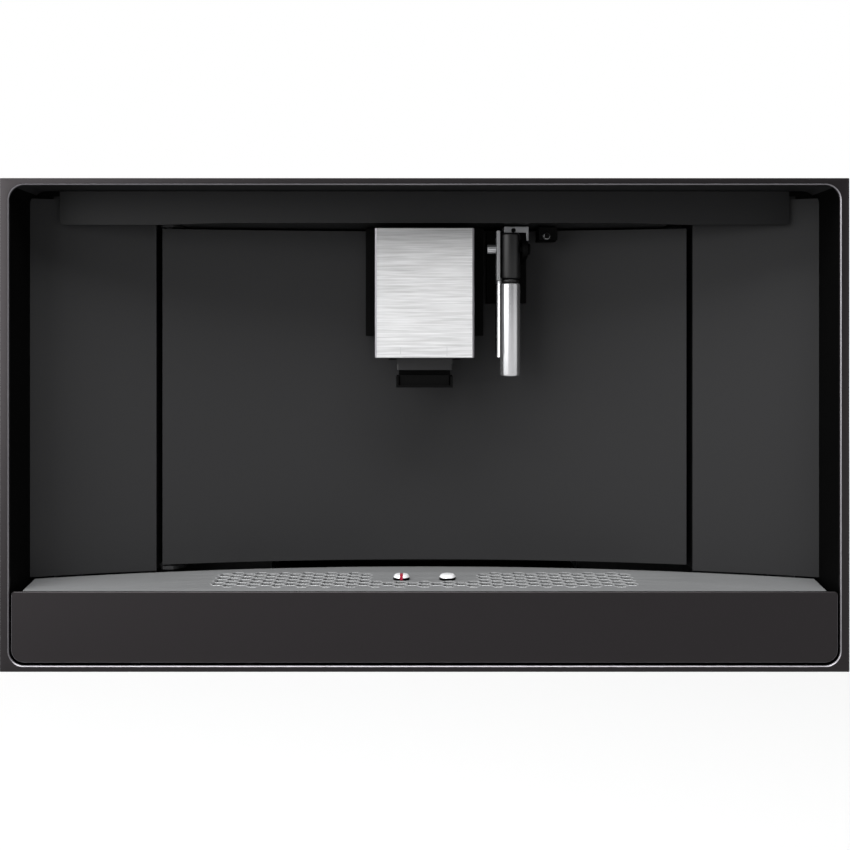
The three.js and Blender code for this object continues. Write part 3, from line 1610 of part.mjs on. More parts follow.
// The air tube behind the sleeve, cut off at a slant.
function airTube() {
  const slant = polygon([
    [AIR_TUBE_DEPTH - 10, airTubeBottom - 10],
    [AIR_TUBE_DEPTH + 10, airTubeBottom - 10],
    [AIR_TUBE_DEPTH + 10, airTubeBottom + 6],
    [AIR_TUBE_DEPTH - 10, airTubeBottom - 2],
  ]);
  return cut(
    rodZ(AIR_TUBE_X, AIR_TUBE_DEPTH, AIR_TUBE_RADIUS, airTubeBottom - 4, airTubeTop, 20),
    alongX(slant, AIR_TUBE_X - 10, AIR_TUBE_X + 10),
  );
}

const neckBottom = sleeveTop + SEAT_GAP;
add("nozzle_grip", nozzleGrip(), mouldedBlack, nozzle);
add(
  "nozzle_ring",
  turned(
    [
      [0, neckBottom],
      [NECK_RADIUS - 0.6, neckBottom],
      [NECK_RADIUS, neckBottom + 0.8],
      [NECK_RADIUS, neckBottom + NECK_HEIGHT - 0.8],
      [NECK_RADIUS - 0.6, neckBottom + NECK_HEIGHT],
      [0, neckBottom + NECK_HEIGHT],
    ],
    NOZZLE_X,
    NOZZLE_DEPTH,
  ),
  mouldedBlack,
  nozzle,
);
add("nozzle_sleeve", nozzleSleeve(), chrome, nozzle);
add("nozzle_air_tube", airTube(), greySteel, nozzle);

// ---- Drip tray -----------------------------------------------------------------------------------

const tray = new THREE.Group();
machine.add(tray);

function trayFascia() {
  const half = FASCIA_WIDTH / 2;
  const outline = roundedRect(
    -half,
    FASCIA_BOTTOM,
    half,
    FASCIA_TOP,
    FASCIA_RADIUS,
    FASCIA_TOP_RADIUS,
  );
  const geometry = new THREE.ExtrudeGeometry(outline, {
    depth: FASCIA_THICKNESS - 2 * FASCIA_CHAMFER,
    bevelSize: FASCIA_CHAMFER,
    bevelOffset: -FASCIA_CHAMFER,
    bevelThickness: FASCIA_CHAMFER,
    bevelSegments: 1,
    curveSegments: 5,
  });
  const back = FASCIA_THICKNESS - FASCIA_CHAMFER;
  return solid(geometry.rotateX(Math.PI / 2).translate(0, back, 0));
}

// The basin follows the curved wall and has a narrower tail that catches the brew unit's drips.
function basinOutline(inset) {
  const half = BASIN_WIDTH / 2 - inset;
  const tail = BASIN_TAIL_WIDTH / 2 - inset;
  const offset = -BASIN_WALL_GAP - inset;
  return polygon([
    [-half, trayFront + inset],
    [half, trayFront + inset],
    ...wallPoints(half, tail, offset),
    [tail, BASIN_TAIL_DEPTH - inset],
    [-tail, BASIN_TAIL_DEPTH - inset],
    ...wallPoints(-tail, -half, offset),
  ]);
}

function dripBasin() {
  return cut(
    alongZ(basinOutline(0), BASIN_BOTTOM, basinTop),
    alongZ(basinOutline(BASIN_WALL), BASIN_BOTTOM + BASIN_WALL, basinTop + 1),
  );
}

// One six-sided hole with two sides across the machine.
function cell(x, y) {
  const radius = CELL_SIDE - CELL_WEB / Math.sqrt(3);
  const corners = Array.from({ length: 6 }, (_, i) => {
    const angle = (Math.PI * i) / 3;
    return new THREE.Vector2(x + radius * Math.cos(angle), y + radius * Math.sin(angle));
  });
  return new THREE.Path(corners);
}

function dripGrate() {
  const frontHalf = PLATE_FRONT_WIDTH / 2;
  const backHalf = PLATE_BACK_WIDTH / 2;
  const outline = polygon([
    [-frontHalf, trayFront],
    [frontHalf, trayFront],
    ...wallPoints(backHalf, -backHalf, -PLATE_WALL_GAP),
  ]);
  const rowPitch = Math.sqrt(3) * CELL_SIDE;
  for (let column = -CELL_COLUMNS; column <= CELL_COLUMNS; column++) {
    const staggered = column % 2 !== 0;
    const x = 1.5 * CELL_SIDE * column;
    for (let row = 0; row < CELL_ROWS - staggered; row++) {
      const y = CELL_FRONT + rowPitch * (row + staggered / 2);
      const bare = Math.abs(x) < NOTCH_HALF_WIDTH && y > NOTCH_FRONT;
      if (!bare) outline.holes.push(cell(x, y));
    }
  }
  for (const side of [-1, 1]) {
    const hole = new THREE.Path();
    hole.absarc(
      side * STUD_X,
      STUD_DEPTH,
      STUD_SHANK_RADIUS + STUD_CLEARANCE,
      0,
      2 * Math.PI,
      false,
    );
    outline.holes.push(hole);
  }
  return alongZ(outline, plateBottom, PLATE_TOP, 10);
}

const studSeat = PLATE_TOP + SEAT_GAP;

// A domed bright stud on the plate; the left one is bored for the float's stem.
function stud(side, bore) {
  return turned(
    [
      [bore, plateBottom - STUD_SHANK_LENGTH],
      [STUD_SHANK_RADIUS, plateBottom - STUD_SHANK_LENGTH],
      [STUD_SHANK_RADIUS, studSeat],
      [STUD_RADIUS, studSeat],
      [STUD_RADIUS, studTop - 1.4],
      [STUD_RADIUS - 0.5, studTop - 0.4],
      [STUD_RADIUS - 1.4, studTop],
      [bore, studTop],
      ...(bore > 0 ? [[bore, plateBottom - STUD_SHANK_LENGTH]] : []),
    ],
    side * STUD_X,
    STUD_DEPTH,
    20,
  );
}

// The slot in the left stud's front that shows the float's vane.
function vaneSlot() {
  const half = VANE_THICKNESS / 2 + VANE_CLEARANCE;
  return block(
    -STUD_X - half,
    -STUD_X + half,
    STUD_DEPTH - STUD_RADIUS - 1,
    STUD_DEPTH,
    studSeat,
    studTop + 1,
  );
}

function trayFloat() {
  const bottom = BASIN_BOTTOM + BASIN_WALL + SEAT_GAP;
  const stemEnd = studTop - FLOAT_RECESS;
  const half = VANE_THICKNESS / 2;
  const reach = Math.sqrt(FLOAT_STEM_RADIUS ** 2 - half ** 2);
  const vane = (front, z0) =>
    block(-STUD_X - half, -STUD_X + half, front, STUD_DEPTH + reach, z0, studTop - SEAT_GAP);
  return joined(
    turned(
      [
        [0, bottom],
        [FLOAT_RADIUS, bottom],
        [FLOAT_RADIUS, bottom + FLOAT_HEIGHT],
        [FLOAT_STEM_RADIUS, bottom + FLOAT_HEIGHT + 3],
        [FLOAT_STEM_RADIUS, stemEnd],
        [0, stemEnd],
      ],
      -STUD_X,
      STUD_DEPTH,
    ),
    vane(STUD_DEPTH - reach, stemEnd - 1),
    vane(STUD_DEPTH - STUD_RADIUS + VANE_SETBACK, studSeat + SEAT_GAP),
  );
}

function trayRunner(side) {
  const x = side * RUNNER_X;
  const top = BASIN_BOTTOM - SEAT_GAP;
  const step = FRONT_SECTION - SEAT_GAP;
  const profile = polygon([
    [FRAME_FACE + 1, NICHE_FLOOR + SEAT_GAP],
    [step, NICHE_FLOOR + SEAT_GAP],
    [step, panFloor + SEAT_GAP],
    [BULKHEAD_DEPTH - SEAT_GAP, panFloor + SEAT_GAP],
    [BULKHEAD_DEPTH - SEAT_GAP, top],
    [FRAME_FACE + 1, top],
  ]);
  return alongX(profile, x - RUNNER_WIDTH / 2, x + RUNNER_WIDTH / 2);
}

add("runner_left", trayRunner(-1), mouldedBlack);
add("runner_right", trayRunner(1), mouldedBlack);
add("tray_fascia", trayFascia(), blackGlass, tray);
add("drip_basin", dripBasin(), mouldedBlack, tray);
add("drip_grate", dripGrate(), greySteel, tray);
add(
  "float_bezel",
  cut(stud(-1, FLOAT_STEM_RADIUS + FLOAT_BORE_CLEARANCE), vaneSlot()),
  chrome,
  tray,
);
add("drain_stud", stud(1, 0), chrome, tray);
add("tray_float", trayFloat(), redPlastic, tray);

// The origin is the middle of the footprint, at the level that the machine stands on.
machine.position.y = -TOTAL_DEPTH / 2;

export default machine;
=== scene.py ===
"""A built-in coffee machine in a pale studio. Lengths are metres, +X to the right seen from the
front, +Y into the machine, +Z up; MM turns millimetres into metres."""

import json
import math

import bmesh
import bpy
from mathutils import Matrix, Vector


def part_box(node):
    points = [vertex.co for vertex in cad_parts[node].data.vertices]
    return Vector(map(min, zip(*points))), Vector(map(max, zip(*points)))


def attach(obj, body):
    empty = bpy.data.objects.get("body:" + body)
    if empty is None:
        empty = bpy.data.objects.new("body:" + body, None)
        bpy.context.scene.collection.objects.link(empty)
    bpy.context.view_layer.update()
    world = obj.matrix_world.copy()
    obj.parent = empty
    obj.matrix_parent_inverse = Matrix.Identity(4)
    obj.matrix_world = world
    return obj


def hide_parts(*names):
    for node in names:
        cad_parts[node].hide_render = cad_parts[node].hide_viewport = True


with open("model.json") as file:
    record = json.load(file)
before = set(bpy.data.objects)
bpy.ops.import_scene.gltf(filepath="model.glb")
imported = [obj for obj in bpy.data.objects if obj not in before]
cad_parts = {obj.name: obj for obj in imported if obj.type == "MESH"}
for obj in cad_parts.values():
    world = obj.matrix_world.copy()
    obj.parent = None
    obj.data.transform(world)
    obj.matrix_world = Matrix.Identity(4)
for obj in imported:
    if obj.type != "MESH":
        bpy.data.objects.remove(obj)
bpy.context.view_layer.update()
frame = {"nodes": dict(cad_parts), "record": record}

MM = 0.001
RECORD = frame["record"]
BODY_OF = {node: body for body, nodes in RECORD["behaviour"]["bodies"].items() for node in nodes}
SLOT_OF = {row["node"]: row["material_slot"] for row in RECORD["subparts"]}

# ---- Picture -----------------------------------------------------------------------------------

IMAGE_SIDE = 850  # pixels, both ways
SENSOR = 36.0  # millimetres
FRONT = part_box("front_frame")[0].y  # the machine's front plane
FRONT_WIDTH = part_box("front_frame")[1].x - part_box("front_frame")[0].x
CAMERA_DISTANCE = 780 * MM  # from the lens to the front plane
CAMERA_HEIGHT = 232.8 * MM
HORIZON_ROW = 340  # the picture's row at the camera's own height
MIDDLE_COLUMN = 424.5  # the picture's column at X = 0
CAMERA_PIXEL = FRONT_WIDTH / IMAGE_SIDE  # one pixel at the front plane

# ---- The machine's own sizes -------------------------------------------------------------------

WALL_RADIUS = 955 * MM  # of the curved back wall, about an upright axis in front of the machine
WALL_DEPTH = 90 * MM  # from the front plane to the wall's middle
APERTURE_RADIUS = 10.5 * MM
EDGE = 0.35 * MM  # the softened edge of painted and moulded pieces


# ---- Shader helpers ----------------------------------------------------------------------------


def linear(hex_colour):
    """An sRGB hex colour as linear red, green and blue."""
    parts = [int(hex_colour[i : i + 2], 16) / 255 for i in (1, 3, 5)]
    return [c / 12.92 if c <= 0.04045 else ((c + 0.055) / 1.055) ** 2.4 for c in parts] + [1.0]


def put(tree, kind, inputs=(), **properties):
    """Adds a shader node: inputs are values or links by socket, properties are the node's own."""
    node = tree.nodes.new(kind)
    for name, value in properties.items():
        setattr(node, name, value)
    for socket, value in dict(inputs).items():
        if isinstance(value, bpy.types.NodeSocket):
            tree.links.new(value, node.inputs[socket])
        else:
            node.inputs[socket].default_value = value
    return node


def new_tree(name):
    """A material and its emptied node tree."""
    material = bpy.data.materials.new(name)
    material.use_nodes = True
    material.node_tree.nodes.clear()
    return material, material.node_tree


MIX_A, MIX_B, MIX_RESULT = 6, 7, 2  # the colour sockets of a mix node


def grain(tree, size, stretch=(1, 1, 1), detail=2.0):
    """A noise whose blotches measure size millimetres, drawn out along the axes by stretch."""
    place = put(tree, "ShaderNodeTexCoord").outputs["Object"]
    scale = [1 / (size * MM * along) for along in stretch]
    spread = put(tree, "ShaderNodeMapping", {"Vector": place, "Scale": scale}).outputs[0]
    return put(
        tree, "ShaderNodeTexNoise", {"Vector": spread, "Scale": 1.0, "Detail": detail}
    ).outputs[0]


def finish(
    name, tones, roughness, size, stretch=(1, 1, 1), relief=0.0, detail=2.0, sockets=(), wound=False
):
    """A surface whose colour and roughness wander between two values each over a grain of size
    millimetres; relief is the grain's height in millimetres. A wound surface takes its direction
    from an upright axis."""
    material, tree = new_tree(name)
    pattern = grain(tree, size, stretch, detail)
    colour = put(
        tree,
        "ShaderNodeMix",
        {0: pattern, MIX_A: linear(tones[0]), MIX_B: linear(tones[1])},
        data_type="RGBA",
    ).outputs[MIX_RESULT]
    gloss = put(
        tree,
        "ShaderNodeMapRange",
        {"Value": pattern, "To Min": roughness[0], "To Max": roughness[1]},
    ).outputs[0]
    inputs = {"Base Color": colour, "Roughness": gloss, **dict(sockets)}
    if relief:
        inputs["Normal"] = put(
            tree,
            "ShaderNodeBump",
            {"Height": pattern, "Distance": relief * MM, "Strength": 1.0},
        ).outputs[0]
    if wound:
        inputs["Tangent"] = put(
            tree, "ShaderNodeTangent", direction_type="RADIAL", axis="Z"
        ).outputs[0]
    surface = put(tree, "ShaderNodeBsdfPrincipled", inputs)
    put(tree, "ShaderNodeOutputMaterial", {"Surface": surface.outputs[0]})
    return material


# ---- Finishes ----------------------------------------------------------------------------------

METAL = {"Metallic": 1.0}

# Black anodised aluminium: a dyed oxide skin over a matt etch. Nearly all that the eye sees is a
# broad soft sheen of the light in front of it.
ANODISED_BLACK = finish(
    "anodised_black",
    ("#050405", "#070607"),
    (0.33, 0.36),
    1.2,
    sockets={"Specular IOR Level": 0.34, "Specular Tint": linear("#fff6fa")},
)

# Bright bare metal along chamfered edges, as a painted highlight: the hairline of light that such an
# edge catches.
EDGE_HIGHLIGHT = finish("edge_highlight", ("#7b797d", "#878589"), (0.4, 0.5), 3.0, sockets=METAL)

# Steel sheet under a satin black lacquer: soft, even, with a faint orange peel of about a
# millimetre.
SATIN_LACQUER = finish(
    "satin_lacquer",
    ("#1d1d1e", "#1f1f20"),
    (0.52, 0.58),
    1.4,
    relief=0.003,
    sockets={"Specular IOR Level": 0.25},
)

# The same lacquer painted a shade darker on the hood, which hangs in front of the panels: painted
# shade for the light that the niche's ceiling keeps off it.
SHADED_LACQUER = finish(
    "shaded_lacquer",
    ("#101011", "#121213"),
    (0.5, 0.56),
    1.4,
    relief=0.003,
    sockets={"Specular IOR Level": 0.22},
)

# Moulded ABS, spark-eroded matt: nearly black, with a fine grain that kills every highlight.
MOULDED_BLACK = finish(
    "moulded_black",
    ("#010101", "#030303"),
    (0.6, 0.75),
    0.5,
    relief=0.02,
    sockets={"Specular IOR Level": 0.05},
)

# Glass-filled nylon of the outlet and the grip: dark grey, a little smoother than the ABS.
NYLON_GREY = finish(
    "nylon_grey",
    ("#0d0d0e", "#111112"),
    (0.34, 0.42),
    0.6,
    relief=0.006,
    sockets={"Specular IOR Level": 0.3},
)

# Stainless steel, belt-brushed across: scratches 30 mm long and 1.3 mm apart, coarser than the
# real 0.1 mm so that they show. They spread the light up and down.
BRUSHED_STEEL = finish(
    "brushed_steel",
    ("#8c8c8d", "#ececed"),
    (0.46, 0.6),
    1.3,
    stretch=(26, 1, 1),
    relief=0.012,
    detail=4.0,
    sockets={"Metallic": 1.0, "Anisotropic": 0.95, "Anisotropic Rotation": 0.25},
    wound=True,
)

# Stainless steel, glass-bead blasted: an even mid grey with hardly a direction in it.
BLASTED_STEEL = finish(
    "blasted_steel",
    ("#808182", "#8c8d8e"),
    (0.46, 0.54),
    0.6,
    stretch=(12, 1, 1),
    relief=0.003,
    detail=3.0,
    sockets={"Metallic": 0.45},
)

# The same steel, brighter round the holes of the plate: partly the pressing's polish, partly a
# painted highlight for the light that the raised rims catch.
COINED_HIGHLIT_STEEL = finish(
    "coined_highlit_steel", ("#979899", "#a3a4a5"), (0.4, 0.5), 0.6, sockets={"Metallic": 0.3}
)

# Nickel-chromium plate on a turned part: a mirror, a little softened by the polishing wheel.
CHROME = finish("chrome", ("#dcdcde", "#e6e6e8"), (0.18, 0.22), 4.0, sockets=METAL)

# The same plate over a bead-blasted tube: it keeps soft bands of light and pale edges.
SATIN_CHROME = finish(
    "satin_chrome", ("#acacae", "#b6b6b8"), (0.22, 0.26), 4.0, sockets={"Metallic": 0.88}
)

# Satin nickel of the two studs' caps, painted almost white as a highlight.
HIGHLIT_NICKEL = finish(
    "highlit_nickel", ("#f0f0f2", "#f6f6f8"), (0.3, 0.36), 1.0, sockets={"Metallic": 0.4}
)

# Turned steel as it leaves the lathe: bright, with rings too fine to see.
TURNED_STEEL = finish(
    "turned_steel",
    ("#a2a3a5", "#b4b5b7"),
    (0.3, 0.38),
    0.4,
    stretch=(1, 1, 6),
    sockets=METAL,
)

# Zinc-phosphated steel: a crystalline mid grey, quite dull.
PHOSPHATED_STEEL = finish(
    "phosphated_steel",
    ("#7a7b7d", "#8c8d8f"),
    (0.4, 0.5),
    0.5,
    relief=0.004,
    sockets={"Metallic": 0.8},
)

# Electro-galvanised sheet: dull blue-grey zinc with cloudy patches about a centimetre wide.
ZINC_SHEET = finish(
    "zinc_sheet",
    ("#8b8e91", "#a3a6a8"),
    (0.38, 0.55),
    9.0,
    detail=5.0,
    sockets=METAL,
)

# Black EPDM rubber, moulded: dull, with a dusty grain.
RUBBER = finish("rubber", ("#141414", "#1e1e1e"), (0.8, 0.95), 0.8, relief=0.02)

# Die-cast aluminium, shot-blasted: pale grey and finely pitted.
CAST_ALUMINIUM = finish(
    "cast_aluminium",
    ("#8d8e8e", "#a5a6a5"),
    (0.45, 0.6),
    0.7,
    relief=0.03,
    sockets=METAL,
)

# Injection-moulded polystyrene of the float: clean red with a soft gloss.
RED_STYRENE = finish("red_styrene", ("#93152f", "#a01a36"), (0.35, 0.42), 2.0)

# Glass-epoxy circuit board under green solder mask: short darker runs where the tracks lie.
SOLDER_MASK = finish(
    "solder_mask",
    ("#17452a", "#22603a"),
    (0.3, 0.5),
    1.5,
    stretch=(1, 12, 1),
    relief=0.01,
    detail=0.0,
)

# Smoked polycarbonate of the tank and the hopper: see-through, grey, glossy.
SMOKED_POLYCARBONATE = finish(
    "smoked_polycarbonate",
    ("#8e979b", "#99a2a6"),
    (0.08, 0.14),
    12.0,
    sockets={"Transmission Weight": 0.85, "IOR": 1.58},
)

FINISH_OF_SLOT = {
    "frame_black": ANODISED_BLACK,
    "satin_black": SATIN_LACQUER,
    "moulded_black": MOULDED_BLACK,
    "brushed_steel": BRUSHED_STEEL,
    "tray_steel": BLASTED_STEEL,
    "bright_steel": TURNED_STEEL,
    "chrome": CHROME,
    "zinc_sheet": ZINC_SHEET,
    "rubber": RUBBER,
    "clear_plastic": SMOKED_POLYCARBONATE,
    "cast_aluminium": CAST_ALUMINIUM,
    "circuit_board": SOLDER_MASK,
    "red_plastic": RED_STYRENE,
}
FINISH_OF_NODE = {
    "outlet_block": NYLON_GREY,
    "nozzle_grip": NYLON_GREY,
    "nozzle_ring": NYLON_GREY,
    "nozzle_pin": MOULDED_BLACK,
    "nozzle_bracket": PHOSPHATED_STEEL,
    # painted shade: the hood takes the darker copy of the lacquer
    "hood_panel": SHADED_LACQUER,
    # painted highlight: the studs' caps are near white
    "drain_stud": HIGHLIT_NICKEL,
    "float_bezel": HIGHLIT_NICKEL,
}


def finish_of(node):
    """A node's own finish, or else that of its slot."""
    return FINISH_OF_NODE.get(node) or FINISH_OF_SLOT[SLOT_OF[node]]


# ---- Mesh helpers ------------------------------------------------------------------------------

FLAT_ANGLE = math.radians(32)  # edges sharper than this are drawn as edges


def soften(piece, width, segments=2):
    """Rounds the piece's sharp edges by width and keeps its flat faces flat."""
    rounding = piece.modifiers.new("softened_edges", "BEVEL")
    rounding.width = width
    rounding.segments = segments
    rounding.limit_method = "ANGLE"
    rounding.angle_limit = FLAT_ANGLE
    rounding.harden_normals = True
    rounding.use_clamp_overlap = True


def smooth(mesh):
    """Smooth shading that stops at sharp edges."""
    body = bmesh.new()
    body.from_mesh(mesh)
    bmesh.ops.recalc_face_normals(body, faces=body.faces)
    for face in body.faces:
        face.smooth = True
    for edge in body.edges:
        edge.smooth = edge.is_manifold and edge.calc_face_angle(0) < FLAT_ANGLE
    body.to_mesh(mesh)
    body.free()


def add_piece(name, points, faces, material, body, slot, softened=0.0, trim=None):
    """A new mesh object that rides on a body. trim is a second material and the numbers of the
    faces that have it."""
    mesh = bpy.data.meshes.new(name)
    mesh.from_pydata([tuple(point) for point in points], [], faces)
    mesh.validate()
    smooth(mesh)
    mesh.materials.append(material)
    if trim:
        second, numbers = trim
        mesh.materials.append(second)
        for number in numbers:
            mesh.polygons[number].material_index = 1
    piece = bpy.data.objects.new(name, mesh)
    bpy.context.scene.collection.objects.link(piece)
    if softened:
        soften(piece, softened)
    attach(piece, body)
    return piece


def stand_in(node, points, faces, material=None, softened=0.0, name=None, trim=None):
    """A finer mesh for a CAD node, on the same body."""
    piece = add_piece(
        name or f"{node}_skin",
        points,
        faces,
        material or finish_of(node),
        BODY_OF[node],
        SLOT_OF[node],
        softened,
        trim,
    )
    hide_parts(node)
    return piece


def skin(loops, closed=False, capped=False):
    """Points and faces of a skin over loops of as many points each. A closed skin joins its last
    loop to its first; a capped one gets a face on each end loop."""
    count = len(loops[0])
    points = [point for loop in loops for point in loop]
    faces = []
    for ring in range(len(loops) if closed else len(loops) - 1):
        low, high = ring * count, (ring + 1) % len(loops) * count
        for i in range(count):
            j = (i + 1) % count
            faces.append((low + i, low + j, high + j, high + i))
    if capped:
        faces.append(tuple(range(count)))
        faces.append(tuple(range(len(points) - count, len(points))))
    return points, faces


def gathered(shapes):
    """Points and faces of several closed shapes as one."""
    points, faces = [], []
    for more_points, more_faces in shapes:
        start = len(points)
        points += more_points
        faces += [tuple(start + corner for corner in face) for face in more_faces]
    return points, faces


def rounded(x0, z0, x1, z1, radius, steps=12):
    """(x, z) points of a rectangle with round corners; radius may be one value or (lower, upper)."""
    lower, upper = radius if isinstance(radius, tuple) else (radius, radius)
    corners = (
        (x1 - lower, z0 + lower, lower, -90),
        (x1 - upper, z1 - upper, upper, 0),
        (x0 + upper, z1 - upper, upper, 90),
        (x0 + lower, z0 + lower, lower, 180),
    )
    return [
        (
            cx + r * math.cos(math.radians(start + 90 * i / steps)),
            cz + r * math.sin(math.radians(start + 90 * i / steps)),
        )
        for cx, cz, r, start in corners
        for i in range(steps + 1)
    ]


def circle(x, y, radius, steps):
    """(x, y) points of a circle, or of a polygon of few steps."""
    return [
        (x + radius * math.cos(math.tau * i / steps), y + radius * math.sin(math.tau * i / steps))
        for i in range(steps)
    ]


def upright(outline, y):
    """An (x, z) outline stood up at depth y."""
    return [(x, y, z) for x, z in outline]


def level(outline, z):
    """An (x, y) outline laid at height z."""
    return [(x, y, z) for x, y in outline]


def turned(profile, centre, axis="Z", steps=64):
    """A profile of (radius, distance along the axis) turned about an axis through centre. A closed
    profile repeats its first point; an open one is capped."""
    closed = profile[0] == profile[-1]
    rings = profile[:-1] if closed else profile
    across = {"X": (1, 2, 0), "Y": (2, 0, 1), "Z": (0, 1, 2)}[axis]
    loops = []
    for radius, along in rings:
        loop = []
        for i in range(steps):
            angle = math.tau * i / steps
            point = [0, 0, 0]
            point[across[0]] = centre[0] + radius * math.cos(angle)
            point[across[1]] = centre[1] + radius * math.sin(angle)
            point[across[2]] = along
            loop.append(tuple(point))
        loops.append(loop)
    return skin(loops, closed=closed, capped=not closed)


def wall_y(x, offset=0.0):
    """Y of the curved back wall at x, moved back by offset."""
    return FRONT + WALL_DEPTH - WALL_RADIUS + math.sqrt((WALL_RADIUS + offset) ** 2 - x * x)


def wall_arc(x0, x1, offset=0.0, steps=40):
    """(x, y) points along the curved wall."""
    xs = [x0 + (x1 - x0) * i / steps for i in range(steps + 1)]
    return [(x, wall_y(x, offset)) for x in xs]


# ---- Surround and niche ------------------------------------------------------------------------

FACE_THICKNESS = 3 * MM
SHEET = 1.2 * MM
CHAMFER = 0.8 * MM
CORNER_STEPS = 16
APERTURE = (-291.7 * MM, 4.3 * MM, 291.7 * MM, 341.6 * MM)  # x0, z0, x1, z1
LINER_SHEET = 1.1 * MM
LINER_OPENING = 277 * MM  # half the width of the liner's open back
LINER_OPENING_TOP = 340 * MM
SHADE_BLOCK_STAND = 1.4 * MM  # how far the black shade blocks stand in front of the liner's back


def grown(box, by):
    x0, z0, x1, z1 = box
    return x0 - by, z0 - by, x1 + by, z1 + by


def flat_box(node):
    """x0, z0, x1, z1 of a node seen from the front."""
    low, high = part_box(node)
    return low.x, low.z, high.x, high.z


def make_surround():
    """The folded frame: a 3 mm face with a skirt behind it, and round the aperture a bead of its
    own in bright metal, a painted highlight along the chamfer."""
    front, back = (corner.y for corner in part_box("front_frame"))
    sides = flat_box("front_frame")

    def outer(inset, radius, y):
        return upright(rounded(*grown(sides, -inset), radius, CORNER_STEPS), y)

    def inner(grow, y):
        return upright(
            rounded(*grown(APERTURE, grow), APERTURE_RADIUS + grow, CORNER_STEPS), y
        )

    bead = 1.1 * CHAMFER
    loops = [
        outer(0, 0.6 * MM, back),
        outer(0, 0.6 * MM, front + 0.4 * MM),
        outer(0.1 * MM, 0.6 * MM, front + 0.1 * MM),
        outer(0.4 * MM, 0.4 * MM, front),
        inner(bead, front),
        inner(bead, front + 0.2 * MM),
        inner(0.1 * MM, front + CHAMFER),
        inner(0, front + CHAMFER + 0.1 * MM),
        inner(0, front + FACE_THICKNESS),
        outer(SHEET, 0.4 * MM, front + FACE_THICKNESS),
        outer(SHEET, 0.4 * MM, back),
    ]
    stand_in("front_frame", *skin(loops, closed=True), name="surround")
    edge = [
        inner(bead, front + 0.15 * MM),
        inner(bead - 0.15 * MM, front),
        inner(0.3 * MM, front + 0.35 * MM),
        inner(0.02 * MM, front + CHAMFER),
        inner(0.2 * MM, front + CHAMFER),
    ]
    # painted highlight: the bead round the aperture is bright metal
    add_piece("aperture_edge", *skin(edge, closed=True), EDGE_HIGHLIGHT, "chassis", "frame_black")


def make_liner():
    """The niche's straight sides with round corners, and the flange behind them; its ceiling is
    lacquered like the panels."""
    low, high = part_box("niche_liner")
    outside = flat_box("niche_liner")
    inside = grown(outside, -LINER_SHEET)
    flange = high.y - SHEET
    opening = (-LINER_OPENING, inside[1] + 0.02 * MM, LINER_OPENING, LINER_OPENING_TOP)
    loops = [
        upright(rounded(*outside, APERTURE_RADIUS + LINER_SHEET, CORNER_STEPS), high.y),
        upright(rounded(*outside, APERTURE_RADIUS + LINER_SHEET, CORNER_STEPS), low.y),
        upright(rounded(*inside, APERTURE_RADIUS, CORNER_STEPS), low.y),
        upright(rounded(*inside, APERTURE_RADIUS, CORNER_STEPS), flange),
        upright(rounded(*opening, 0.5 * MM, CORNER_STEPS), flange),
        upright(rounded(*opening, 0.5 * MM, CORNER_STEPS), high.y),
    ]
    count = len(loops[0])
    points, faces = skin(loops, closed=True)
    inner_band = range(2 * count, 3 * count)
    ceiling = [
        number
        for number in inner_band
        if all(points[corner][2] > high.z - 0.4 * APERTURE_RADIUS for corner in faces[number])
    ]
    stand_in("niche_liner", points, faces, trim=(SATIN_LACQUER, ceiling))


def make_shade_blocks():
    """A black block beside each end of the hood, put there as painted shade; it hides the casing's
    flange there.
    """
    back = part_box("niche_liner")[1].y
    hood_end, casing_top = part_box("hood_panel")[1].x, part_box("casing_wrap")[1].z
    for side, sign in {"left": -1, "right": 1}.items():
        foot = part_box("side_panel_" + side)[1].z + 0.1 * MM
        near, far = sign * (hood_end + 0.3 * MM), sign * (LINER_OPENING - 0.1 * MM)
        roof = casing_top - 0.1 * MM
        outline = [(near, foot), (far, foot), (far, roof), (near, roof)]
        # painted shade: a black block where the niche's corner lies in shade
        add_piece(
            "shade_block_" + side,
            *skin([upright(outline, back - SHADE_BLOCK_STAND), upright(outline, back)], capped=True),
            RUBBER,
            "chassis",
            "rubber",
        )


make_surround()
make_liner()
make_shade_blocks()

# ---- Drip tray ---------------------------------------------------------------------------------

CELL_SIDE = 5.88 * MM
CELL_WEB = 1.7 * MM
CELL_FRONT = 20.8 * MM  # depth of the first row's centres
CELL_ROWS = 5
CELL_COLUMNS = 17  # each side of the middle
NOTCH_HALF_WIDTH = 39 * MM  # the bare middle, round the studs
NOTCH_FRONT = 34.5 * MM
CELL_RADIUS = CELL_SIDE - CELL_WEB / math.sqrt(3)
RIM_WIDTH = 0.9 * MM
RIM_HEIGHT = 0.22 * MM
STUD_X = 17 * MM
STUD_DEPTH = 42 * MM
STUD_HOLE = 5 * MM
PLATE_FRONT_WIDTH = 566.6 * MM
PLATE_WALL_GAP = 1.5 * MM
PLATE_BEVEL = 0.25 * MM


